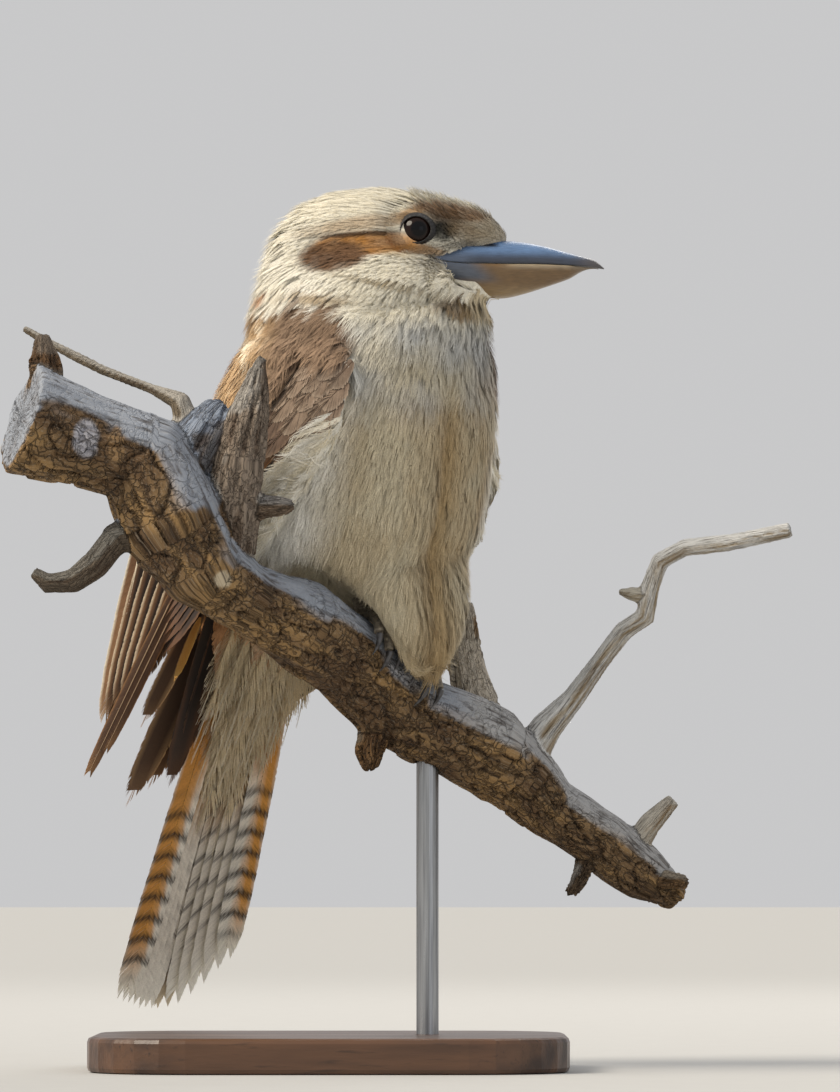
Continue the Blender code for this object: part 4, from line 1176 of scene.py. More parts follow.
@dataclass
class Coat:
    """Every small body feather, in pieces by region."""

    flesh: Flesh
    strokes: Strokes
    markings: Markings
    seed: int = 41
    variants: int = 5
    limit: int = 190000
    drapes: int = 520
    share: float = 1.0
    patches: tuple[Patch, ...] = (
        Patch("eye_ring", 0.00060, 0.0018, 0.0009, 0.00006, 4, 0.0000, 0.08),
        Patch("face", 0.00075, 0.0034, 0.0011, 0.00007, 5, 0.0001, 0.14, 0.22),
        Patch("forehead", 0.00088, 0.0056, 0.0014, 0.00008, 6, 0.0012, 0.22, 0.50),
        Patch("crown", 0.00098, 0.0104, 0.0018, 0.00008, 7, 0.0003, 0.10),
        Patch("nape", 0.00108, 0.0135, 0.0021, 0.00009, 7, 0.0010, 0.15),
        Patch("mask", 0.00090, 0.0070, 0.0014, 0.00008, 6, 0.0001, 0.08, 0.10),
        Patch("cheek", 0.00095, 0.0066, 0.0016, 0.00008, 7, 0.0002, 0.14, 0.03),
        Patch("throat", 0.00125, 0.0105, 0.0032, 0.00010, 8, 0.0006, 0.24),
        Patch("neck", 0.00145, 0.0140, 0.0040, 0.00011, 8, 0.0003, 0.17),
        Patch("breast", 0.00175, 0.0180, 0.0048, 0.00012, 9, 0.0003, 0.14),
        Patch("belly", 0.00185, 0.0200, 0.0042, 0.00012, 9, 0.0004, 0.14),
        Patch("vent", 0.00180, 0.0200, 0.0044, 0.00012, 9, 0.0006, 0.18),
        Patch("back", 0.00290, 0.0190, 0.0092, 0.00022, 14, 0.0002, 0.10, 0.12, 1.05, 0.22, 1.65),
        Patch("shoulder", 0.00260, 0.0185, 0.0088, 0.00021, 14, 0.0002, 0.09, 0.05, 1.05, 0.16, 1.65),
        Patch("leg", 0.00110, 0.0062, 0.0020, 0.00010, 6, 0.0004, 0.25),
        Patch("flank", 0.00200, 0.0210, 0.0036, 0.00012, 10, 0.0008, 0.10),
    )

    def region(self, places: Array) -> Array:
        """Finds the patch that each place belongs to.

        Args:
            places: rows of X, Y and Z.

        Returns:
            The number of a patch for each row.
        """
        order = {patch.name: k for k, patch in enumerate(self.patches)}
        x, y, z = places.T
        forward, _, _ = to_body(places)
        head = z > 0.306
        near = np.hypot(x - self.flesh.eye[0], z - self.flesh.eye[2]) < 0.0105
        found = np.full(len(places), order["breast"])
        for name, where in (
            ("belly", z < 0.236),
            ("vent", (z < 0.178) & (forward < 0.020)),
            ("back", (forward < -0.034) & (z < 0.300)),
            ("neck", z > 0.286),
            ("shoulder", self.markings.mantle(places) > 0.5),
            ("back", (forward < -0.034) & (z < 0.296)),
            ("throat", (z > 0.299) & (x > 0.020)),
            ("cheek", head),
            ("crown", head & (z > 0.3385)),
            ("nape", head & (x < -0.006)),
            ("mask", head & (x < 0.030) & (x > -0.010) & (z > 0.3215) & (z <= 0.3385)),
            ("face", head & (x > 0.040)),
            ("forehead", head & (x > 0.036) & (z > 0.3365)),
            ("throat", head & (x > 0.046) & (z < 0.314)),
            ("eye_ring", head & near & (np.abs(y - HEAD_Y) > 0.008)),
            ("leg", (z < 0.190) & (np.abs(x - 0.014) < 0.020) & (np.abs(y + 0.004) < 0.016) & (forward < 0.020)),
        ):
            found[where] = order[name]
        return found

    def roots(self, rng: Random, bare: list[tuple[BVHTree, float]]) -> tuple[Array, Array, Array]:
        """Spreads feather roots over the skin.

        Args:
            rng: the source of the spread.
            bare: closed surfaces that no feather grows in, and how near it may grow to each.

        Returns:
            The roots, their normals and their patches.
        """
        points, triangles = self.flesh.points, self.flesh.triangles
        corners = points[triangles]
        area = 0.5 * np.linalg.norm(np.cross(corners[:, 1] - corners[:, 0], corners[:, 2] - corners[:, 0]), axis=1)
        owner = self.region(corners.mean(axis=1))
        kept = []
        for number, patch in enumerate(self.patches):
            mine = np.flatnonzero(owner == number)
            if not len(mine):
                continue
            wanted = int(area[mine].sum() / patch.spacing**2 * 3.0)
            picked = triangles[rng.choice(mine, wanted, p=area[mine] / area[mine].sum())]
            a, b = rng.random(wanted), rng.random(wanted)
            flip = a + b > 1.0
            a[flip], b[flip] = 1.0 - a[flip], 1.0 - b[flip]
            share = np.stack((1.0 - a - b, a, b), axis=1)[:, :, None]
            places = (points[picked] * share).sum(axis=1)
            normals = unit((self.flesh.normals[picked] * share).sum(axis=1))
            cells = np.floor(places / (patch.spacing * 1.12)).astype(np.int64)
            first = np.unique(cells, axis=0, return_index=True)[1]
            kept.append((places[first], normals[first], np.full(len(first), number)))
        places, normals, patches = (np.concatenate(rows) for rows in zip(*kept))
        clear = np.ones(len(places), bool)
        for tree, reach in bare:
            for row, place in enumerate(places.tolist()):
                spot, normal, _, gap = tree.find_nearest(Vector(place))
                inside = (Vector(place) - spot).dot(normal) < 0.0
                clear[row] &= gap > reach and not (inside and gap < 0.02)
        return places[clear], normals[clear], patches[clear]

    def drape(self, rng: Random, sheets: list["Sheet"]) -> tuple[Array, Array]:
        """Lays flank feathers over the front edge of each wing.

        Args:
            rng: the source of their spread.
            sheets: the wings' sheets.

        Returns:
            Four places a feather, and the way out there.
        """
        stops, ups, count = [], [], self.drapes
        for sheet in sheets:
            along = 0.009 + 0.083 * rng.beta(1.15, 1.05, count)
            across = rng.uniform(-0.0360, -0.0205, count)
            reach = rng.uniform(0.8, 1.15, count)
            path, rise = [], []
            for ahead, aside, height in metres(((0, 0, 0), (62, 22, 22), (130, 46, 42), (190, 70, 52))):
                spread = rng.normal(0.0, 0.0008, count) * (ahead > 0.0)
                level = height * rng.uniform(0.85, 1.10, count)
                over = sheet.place(along + ahead * reach, across + aside * reach + spread, -0.0034 + level)
                hits = [self.flesh.tree.find_nearest(Vector(place)) for place in over.tolist()]
                normal = np.array([hit[1] for hit in hits])
                under = np.array([hit[0] for hit in hits]) + normal * level[:, None]
                share = ramp(across + aside * reach, -0.0270, -0.0200)[:, None] * (ahead > 0.0)
                path.append(under + (over - under) * share)
                rise.append(normal)
            path, rise, flat = np.stack(path, axis=1), unit(np.stack(rise, axis=1)), np.zeros(count)
            flow = unit(sheet.place(along + 0.019, across + 0.007, flat) - sheet.place(along, across, flat))
            keep = np.ones(count, bool)
            for start, end, least in ((0, 3, 0.0125), (0, 1, 0.0020), (2, 3, 0.0035)):
                keep &= ((path[:, end] - path[:, start]) * flow).sum(axis=1) > least
            stops.append(path[keep])
            ups.append(rise[keep])
        return np.concatenate(stops), np.concatenate(ups)

    def follow(self, places: Array, normals: Array, steps: Array, drift: Array) -> tuple[Array, Array]:
        """Walks from each root along the lie of the coat.

        Args:
            places: the roots.
            normals: the normals there.
            steps: how far each step goes.
            drift: how each feather's way differs.

        Returns:
            Four places a feather on the skin, and their normals.
        """
        stops, ups = [places], [normals]
        for _ in range(3):
            way = self.strokes.lie(stops[-1], ups[-1])
            ahead = stops[-1] + (way + drift * 0.5) * steps[:, None]
            hits = [self.flesh.tree.find_nearest(Vector(p)) for p in ahead.tolist()]
            stops.append(np.array([hit[0] for hit in hits]))
            ups.append(unit(ups[-1] * 0.5 + np.array([hit[1] for hit in hits]) * 0.5))
        return np.stack(stops, axis=1), np.stack(ups, axis=1)

    def build(self, bare: list[tuple[BVHTree, float]], sheets: list["Sheet"]) -> None:
        """Makes the coat.

        Args:
            bare: closed surfaces that no feather grows in, and how near it may grow to each.
            sheets: the wings' sheets.
        """
        rng = np.random.default_rng(self.seed)
        places, normals, patches = self.roots(rng, bare)
        keep = rng.random(len(places)) < self.share
        places, normals, patches = places[keep], normals[keep], patches[keep]
        draped, outward = self.drape(rng, sheets)
        own = len(places)
        places, normals = np.concatenate((places, draped[:, 0])), np.concatenate((normals, outward[:, 0]))
        patches = np.concatenate((patches, np.full(len(draped), len(self.patches) - 1)))
        sized = {key: np.array([getattr(patch, key) for patch in self.patches])[patches]
                 for key in ("length", "width", "barb", "stand", "wild", "streak")}
        count = len(places)
        length = sized["length"] * rng.uniform(0.82, 1.18, count)
        wild = rng.normal(0.0, 1.0, (count, 3)) * sized["wild"][:, None]
        drift = wild - normals * (wild * normals).sum(axis=1, keepdims=True)
        stops, ups = self.follow(places, normals, length / 3.0, drift)
        depth = self.flesh.depth(stops.reshape(-1, 3)).reshape(count, 4)
        lift = np.array((-0.04, 0.42, 0.78, 1.0)) * depth
        corner = ramp(-places[:, 0], -0.012, 0.016) * ramp(places[:, 2], 0.312, 0.332)
        lift = lift + np.array((0.0, 0.25, 0.6, 1.0)) * (corner * rng.uniform(0.0016, 0.0050, count))[:, None]
        lift = lift + np.array((0.0, 0.1, 0.5, 1.0)) * (sized["stand"] * rng.uniform(0.2, 1.8, count))[:, None]
        lift = lift + rng.uniform(-0.07, 0.07, count)[:, None] * depth * np.array((0.0, 0.5, 0.8, 0.8))
        stops = stops + ups * lift[:, :, None]
        stops[own:], ups[own:] = draped, outward
        clear = np.ones(count, bool)
        for spot in (2, 3):
            gap = np.hypot(stops[:, spot, 0] - self.flesh.eye[0], stops[:, spot, 2] - self.flesh.eye[2])
            clear &= (gap > 0.0068) | (np.abs(stops[:, spot, 1] - HEAD_Y) < 0.008)
        colours = self.markings.colours(stops[:, 3] * 0.6 + stops[:, 2] * 0.4)
        pale = rng.uniform(0.0, 1.0, len(draped))[:, None]
        colours[own:] = (np.asarray(Markings.WHITE) * pale + np.asarray(Markings.CREAM) * (1.0 - pale)) * 1.05
        feathers = {"stops": stops, "ups": ups, "width": sized["width"], "barb": sized["barb"], "colour": colours,
                    "tone": rng.normal(1.0, 0.045, count), "dark": rng.random(count) < sized["streak"],
                    "map": self.flesh.unwrap(places)}
        finish = FeatherFinish("soft_feathers").make()
        for number, patch in enumerate(self.patches):
            mine = np.flatnonzero((patches == number) & clear)
            if not len(mine):
                continue
            tufts = [Tuft(rng, patch) for _ in range(self.variants)]
            room = max(1, self.limit // tufts[0].faces)
            for part, start in enumerate(range(0, len(mine), room)):
                pile = self.grow({key: rows[mine[start:start + room]] for key, rows in feathers.items()}, tufts,
                                 patch.fringe, rng)
                name = f"{patch.name}_{part}"
                put(f"coat_{name}", pile.mesh(name), finish)

    def grow(self, feathers: dict[str, Array], tufts: list[Tuft], fringe: float, rng: Random) -> "Pile":
        """Gathers one piece of coat.

        Args:
            feathers: what each feather has, one row a feather.
            tufts: the feathers to choose from.
            fringe: how much paler the tips are.
            rng: the source of the choice.

        Returns:
            The piece's points and faces.
        """
        choice = rng.integers(0, len(tufts), len(feathers["tone"]))
        pile = Pile()
        for number, tuft in enumerate(tufts):
            own = {key: rows[choice == number] for key, rows in feathers.items()}
            count = len(own["tone"])
            if not count:
                continue
            t, s, h, da, db = tuft.points.T
            places, tangent = self.curve(own["stops"], t)
            up = own["ups"][:, 0][:, None, :] * (1.0 - t)[None, :, None]
            up = up + own["ups"][:, 3][:, None, :] * t[None, :, None]
            side = unit(np.cross(up, tangent))
            up = np.cross(tangent, side)
            half, barb = (own["width"] / 2.0)[:, None, None], own["barb"][:, None, None]
            twist = rng.normal(0.0, 0.05, count)[:, None, None]
            side_part = s[None, :, None] * half + db[None, :, None] * barb
            places = places + side * side_part + up * (h[None, :, None] * half + side_part * twist)
            places = places + side * (da[None, :, None] * barb)
            # Each feather is painted darker towards its root, as painted shade where the feathers overlap; the tone is
            # its own and the fringe pales the tip.
            shade = own["tone"][:, None] * (0.90 + 0.12 * np.clip(t, 0.0, 1.0) + fringe * ramp(t, 0.70, 1.0))[None, :]
            middle = np.exp(-((s / 0.22) ** 2))[None, :, None] * own["dark"][:, None, None]
            tint = own["colour"][:, None, :] * shade[:, :, None]
            tint = tint * (1.0 - 0.62 * middle * ramp(t, 0.2, 0.5)[None, :, None])
            spot = np.stack((s * 0.0014, (np.clip(t, 0.0, 1.4) - 0.5) * 0.0026), axis=1)
            maps = np.clip(own["map"][:, None, :] + spot[None, :, :], 0.001, 0.999)
            offsets = (np.arange(count) * len(tuft.points))[:, None, None]
            pile.add(places.reshape(-1, 3), tint.reshape(-1, 3), maps.reshape(-1, 2),
                     (tuft.quads[None] + offsets).reshape(-1, 4), (tuft.sides[None] + offsets).reshape(-1, 3))
        return pile

    @staticmethod
    def curve(stops: Array, t: Array) -> tuple[Array, Array]:
        """Reads a smooth line through four stops.

        Args:
            stops: four places a feather.
            t: places along, from 0 to 1.

        Returns:
            The places and the directions there.
        """
        knots = np.array((0.0, 1.0 / 3.0, 2.0 / 3.0, 1.0))
        grid = np.clip(t, 0.0, 1.12)
        weights, slopes = [], []
        for knot in knots:
            others = [other for other in knots if other != knot]
            scale = np.prod([knot - other for other in others])
            a, b, c = (grid - other for other in others)
            weights.append(a * b * c / scale)
            slopes.append((a * b + b * c + a * c) / scale)
        weight, slope = np.stack(weights, axis=1), np.stack(slopes, axis=1)
        return np.einsum("vk,nkx->nvx", weight, stops), unit(np.einsum("vk,nkx->nvx", slope, stops))


# Large feathers


class Pile:
    """Points, faces, colours and map places gathered for one mesh."""

    def __init__(self) -> None:
        """Starts with nothing in it."""
        self.points, self.quads, self.sides, self.tints, self.maps = [], [], [], [], []
        self.count = 0

    def add(self, points: Array, tints: Array, maps: Array, quads: Array, sides: Array | None = None) -> None:
        """Adds rows.

        Args:
            points: rows of X, Y and Z.
            tints: a colour for each.
            maps: a place on the map for each.
            quads: rows of four corners.
            sides: rows of three corners.
        """
        self.points.append(points)
        self.tints.append(tints)
        self.maps.append(maps)
        self.quads.append(quads + self.count)
        if sides is not None:
            self.sides.append(sides + self.count)
        self.count += len(points)

    def mesh(self, name: str) -> Mesh:
        """Makes the mesh of all that was added.

        Args:
            name: the mesh's name.

        Returns:
            The mesh.
        """
        made = mesh_of(name, np.concatenate(self.points), [np.concatenate(block) for block in (self.quads, self.sides)
                                                           if block])
        set_tint(made, np.concatenate(self.tints))
        set_map(made, np.concatenate(self.maps))
        return made


class Sheet:
    """A curved sheet that a folded wing's feathers lie on."""

    def __init__(self, line: Array, across: Array, radii: tuple[float, ...], outward: float) -> None:
        """Keeps the sheet's stops.

        Args:
            line: its middle line in F, L and Z.
            across: the way across it at each stop.
            radii: how it bends across at each stop.
            outward: which face is the outer one, -1 or 1.
        """
        self.line = in_body(line)
        self.across = unit(turn_body(across))
        self.radii = np.array(radii)[:, None]
        self.outward = outward
        self.swell = 0.0
        self.stops = np.concatenate(([0.0], np.cumsum(np.linalg.norm(np.diff(self.line, axis=0), axis=1))))

    def blend(self, values: Array, along: Array) -> Array:
        """Reads a smooth value from those given at the stops.

        Args:
            values: one row a stop.
            along: places along the sheet.

        Returns:
            One row a place.
        """
        count = len(values)
        step = np.clip(np.searchsorted(self.stops, along, side="left") - 1, 0, count - 2)
        t = ((along - self.stops[step]) / (self.stops[step + 1] - self.stops[step]))[:, None]
        first, second = values[step], values[step + 1]
        before, after = values[np.maximum(step - 1, 0)], values[np.minimum(step + 2, count - 1)]
        curve = hermite(t, first, (second - before) * 0.5, second, (after - first) * 0.5)
        return np.where((t < 0.0) | (t > 1.0), first + (second - first) * t, curve)

    def place(self, along: Array, across: Array, height: Array) -> Array:
        """Reads points on or over the sheet.

        Args:
            along: places along it.
            across: places across it.
            height: heights over it.

        Returns:
            Rows of X, Y and Z.
        """
        centre = self.blend(self.line, along)
        ahead = unit(self.blend(self.line, along + 0.002) - self.blend(self.line, along - 0.002))
        side = self.blend(self.across, along)
        side = unit(side - ahead * (side * ahead).sum(axis=1, keepdims=True))
        normal = np.cross(ahead, side) * self.outward
        radius = self.blend(self.radii, along)
        angle = across[:, None] / radius
        reach = ((along - 0.014) / 0.015) ** 2 + ((across - 0.002) / 0.014) ** 2
        height = height + self.swell * np.exp(-reach)
        rise = normal * np.cos(angle) + side * np.sin(angle)
        return centre - normal * radius + rise * (radius + height[:, None])


@dataclass
class FlatSheet:
    """A flat sheet that feathers lie on: its root, and its ways along, across and out."""

    root: Array
    ahead: Array
    aside: Array
    outer: Array
    length: float

    def place(self, along: Array, across: Array, height: Array) -> Array:
        """Reads points on or over the sheet, as Sheet.place does."""
        return self.root + np.outer(along, self.ahead) + np.outer(across, self.aside) + np.outer(height, self.outer)


def tail_sheet() -> FlatSheet:
    """Makes the sheet that the tail's feathers lie on.

    Returns:
        The sheet.
    """
    root, tip = in_body(((-0.061, -0.001, 0.176), (-0.1285, -0.001, 0.022)))
    length = float(np.linalg.norm(tip - root))
    ahead, aside = (tip - root) / length, unit(turn_body((0.0, 1.0, 0.0)))[0]
    return FlatSheet(root, ahead, aside, np.cross(aside, ahead), length)


def fan_sheet() -> FlatSheet:
    """Makes the sheet that the near wing's longest feathers lie on, under the branch.

    Returns:
        The sheet.
    """
    root, tip, level = np.array(((-0.0673, 0.0300, 0.2213), (-0.0896, 0.0400, 0.1464), (-0.957, 0.0, 0.285)))
    ahead = unit((tip - root)[None])[0]
    aside = unit((level - ahead * (level @ ahead))[None])[0]
    outer = np.cross(aside, ahead)
    return FlatSheet(root, ahead, aside, outer * (-1.0 if outer[1] > 0.0 else 1.0), 0.0)


@dataclass(frozen=True)
class Pattern:
    """The colours of one kind of large feather, from its root to its tip and from shaft to edge."""

    root: Colour
    middle: Colour
    tip: Colour
    edge: Colour
    edge_share: float = 0.0
    edge_start: float = 0.72
    tip_start: float = 0.93
    bar: Colour = (0.015, 0.012, 0.010)
    bar_share: float = 0.0
    bar_pitch: float = 0.0092
    bar_thick: float = 0.34
    bar_lean: float = 0.35
    bar_start: float = 0.0
    bar_end: float = 1.0
    shaft: Colour = (0.25, 0.20, 0.14)
    turn: tuple[float, float] = (0.15, 0.55)
    inner: Colour | None = None
    inner_start: float = -0.10
    inner_from: float = 0.30
    split: float = 0.0

    def colours(self, t: Array, s: Array, length: float, phase: float) -> Array:
        """Reads the pattern.

        Args:
            t: places from root to tip.
            s: places from edge to edge, -1 to 1.
            length: the feather's length.
            phase: shift of the bars, from 0 to 1.

        Returns:
            Rows of linear colour.
        """
        edge = np.maximum(ramp(np.abs(s), self.edge_start, self.edge_start + 0.22), ramp(t, self.tip_start, 1.0))
        layers = [(self.middle, ramp(t, *self.turn))]
        if self.inner:
            layers.append((self.inner, ramp(-s * self.split, self.inner_start, self.inner_start + 0.20)
                           * ramp(t, self.inner_from, self.inner_from + 0.20)))
        layers.append((self.edge, edge * self.edge_share))
        layers.append((self.tip, ramp(t, self.tip_start - 0.12, self.tip_start + 0.06)))
        if self.bar_share:
            turn = (t * length - self.bar_lean * np.abs(s) * 0.006) / self.bar_pitch + phase
            bar = 1.0 - ramp(np.abs(turn - np.round(turn)), self.bar_thick * 0.5 - 0.07, self.bar_thick * 0.5 + 0.07)
            bar = bar * ramp(t, self.bar_start - 0.05, self.bar_start + 0.05)
            bar = bar * (1.0 - ramp(t, self.bar_end - 0.05, self.bar_end + 0.02))
            layers.append((self.bar, bar * self.bar_share))
        return painted(len(t), self.root, *layers)


@dataclass(frozen=True)
class Plume:
    """The build of one kind of large feather: a shaft, two rows of barbs and the thin vane behind them."""

    pattern: Pattern
    barbs: int = 22
    lean: float = 1.15
    camber: float = 0.16
    fray: float = 0.10
    loose: float = 0.0
    shaft: float = 0.00030
    backed: bool = True
    tip: float = 0.16
    outline: tuple[tuple[float, float], ...] = (
        (0.0, 0.34), (0.14, 0.70), (0.42, 0.98), (0.72, 1.0), (0.90, 0.80), (0.98, 0.45), (1.06, 0.06), (1.3, 0.0),
    )

    def half(self, t: Array) -> Array:
        """Reads the outline's share of the half width at places from root to tip."""
        return np.interp(t, *np.array(self.outline).T)

    def add(self, pile: Pile, sheet: Sheet | FlatSheet, root: tuple[float, float], tip_along: float, width: float,
            heights: tuple[float, float, float], tilt: float, drift: float, cell: tuple[float, float, float],
            rng: Random, shade: float = 1.0, phase: float | None = None,
            pattern: Pattern | None = None) -> None:
        """Adds one feather to a pile.

        Args:
            pile: where it goes.
            sheet: what it lies on.
            root: its root along and across the sheet.
            tip_along: where it ends along the sheet.
            width: its full width.
            heights: its heights at root, quarter and tip.
            tilt: fall of its surface across it.
            drift: how far its tip moves across.
            cell: left, bottom and size of its place on the map.
            rng: the source of its small differences.
            shade: its brightness.
            phase: shift of its bars.
            pattern: its colours where they are its own.
        """
        colours = pattern or self.pattern
        length = tip_along - root[0]
        turn = rng.random() if phase is None else phase
        half_width = width / 2.0

        def settle(t: Array, s: Array, lift: Array) -> tuple[Array, Array, Array]:
            """Turns the feather's own terms into place, colour and map rows.

            Args:
                t: places from root to tip.
                s: places from edge to edge.
                lift: heights over the vane.

            Returns:
                The rows.
            """
            across = s * half_width
            level = np.where(t < 0.25, heights[0] + (heights[1] - heights[0]) * t / 0.25,
                             heights[1] + (heights[2] - heights[1]) * (t - 0.25) / 0.75)
            level = level - tilt * across - self.camber * half_width * s**2 + lift
            places = sheet.place(root[0] + length * t, root[1] + drift * t + across, level)
            share = np.clip(s / np.maximum(self.half(t), 0.05), -1.0, 1.0)
            tint = colours.colours(np.clip(t, 0.0, 1.0), share, length, turn) * shade
            left, low, size = cell
            maps = np.stack((left + size * (0.5 + 0.46 * np.clip(s, -1.05, 1.05)),
                             low + size * (0.02 + 0.88 * np.clip(t, 0.0, 1.09))), axis=1)
            return places, tint, maps

        if self.backed:
            rows, columns = 9, 5
            t = np.repeat(np.linspace(0.0, 0.985, rows), columns)
            s = np.tile(np.linspace(-0.90, 0.90, columns), rows) * self.half(t)
            r, c = np.divmod(np.arange((rows - 1) * (columns - 1)), columns - 1)
            corner = r * columns + c
            # The vane behind the barbs is painted darker, as painted shade under them.
            places, tint, maps = settle(t, s, np.full(len(t), -0.00012))
            pile.add(places, tint * 0.62, maps,
                     np.stack((corner, corner + 1, corner + columns + 1, corner + columns), axis=1))

        count = self.barbs
        pitch = 1.0 / count
        lean = self.lean * half_width / length
        base = np.linspace(0.015, 0.955, count)
        columns = []
        for flip in (-1.0, 1.0):
            start = base + rng.uniform(-0.25, 0.25, count) * pitch
            tip_t = start + lean * (1.0 + rng.normal(0.0, min(0.10, self.fray), count))
            rng.normal(0.0, 1.0, count)  # keeps the order of the draws that follow
            wave = np.sin(base * rng.uniform(9.0, 22.0) + rng.uniform(0.0, 6.0))
            stray = rng.random(count) < self.loose
            tip_t = tip_t + wave * pitch * 0.5 + stray * rng.uniform(0.0, 3.0, count) * pitch
            out = self.half(tip_t) * (1.0 + rng.normal(0.0, self.fray * 0.5, count))
            out = np.maximum(out - np.abs(rng.normal(0.0, self.fray, count)) * 0.6, 0.03)
            for u, wide in ((0.0, 0.62), (0.40, 0.68), (0.74, max(0.64, self.tip * 0.95)), (1.0, self.tip)):
                t = start + (tip_t - start) * (u**1.15)
                lift = 0.00010 * math.sin(math.pi * u) + stray * u * u * 0.0009
                columns += [(t + edge * pitch * wide, flip * out * u, lift + edge * 0.00009) for edge in (-1.0, 1.0)]
        t, s, lift = (np.stack(rows, axis=1).reshape(-1) for rows in zip(*columns))
        quads = np.array([(k, k + 1, k + 3, k + 2) for k in (0, 2, 4, 8, 10, 12)])
        places, tint, maps = settle(t, s, lift)
        speck = np.repeat(rng.normal(1.0, 0.05, (count, 2)), 8, axis=1).reshape(-1)
        pile.add(places, tint * speck[:, None], maps, (quads + np.arange(count)[:, None, None] * 16).reshape(-1, 4))

        spots = np.linspace(0.0, 0.97, 12)
        thick = self.shaft * (1.0 - 0.8 * spots)
        t = np.repeat(spots, 4)
        s = np.outer(thick, (-1.0, 0.0, 1.0, 0.0)).ravel() / half_width
        places, _, maps = settle(t, s, np.outer(thick, (0.0, 1.0, 0.0, -0.6)).ravel() + 0.00012)
        pile.add(places, np.tile(np.asarray(colours.shaft) * shade, (len(t), 1)), maps, ring_quads(12, 4))


def map_cells(count: int) -> list[tuple[float, float, float]]:
    """Shares a map out in equal squares.

    Args:
        count: how many are wanted.

    Returns:
        The left, bottom and size of each.
    """
    side = math.ceil(math.sqrt(count))
    size = 0.98 / side
    return [(0.01 + size * (k % side), 0.01 + size * (k // side), size) for k in range(count)]


@dataclass(frozen=True)
class Row:
    """One row of feathers on a folded wing."""

    start: float
    lowest: float
    highest: float
    count: int
    length: float
    width: float
    plume: Plume
    rise: float


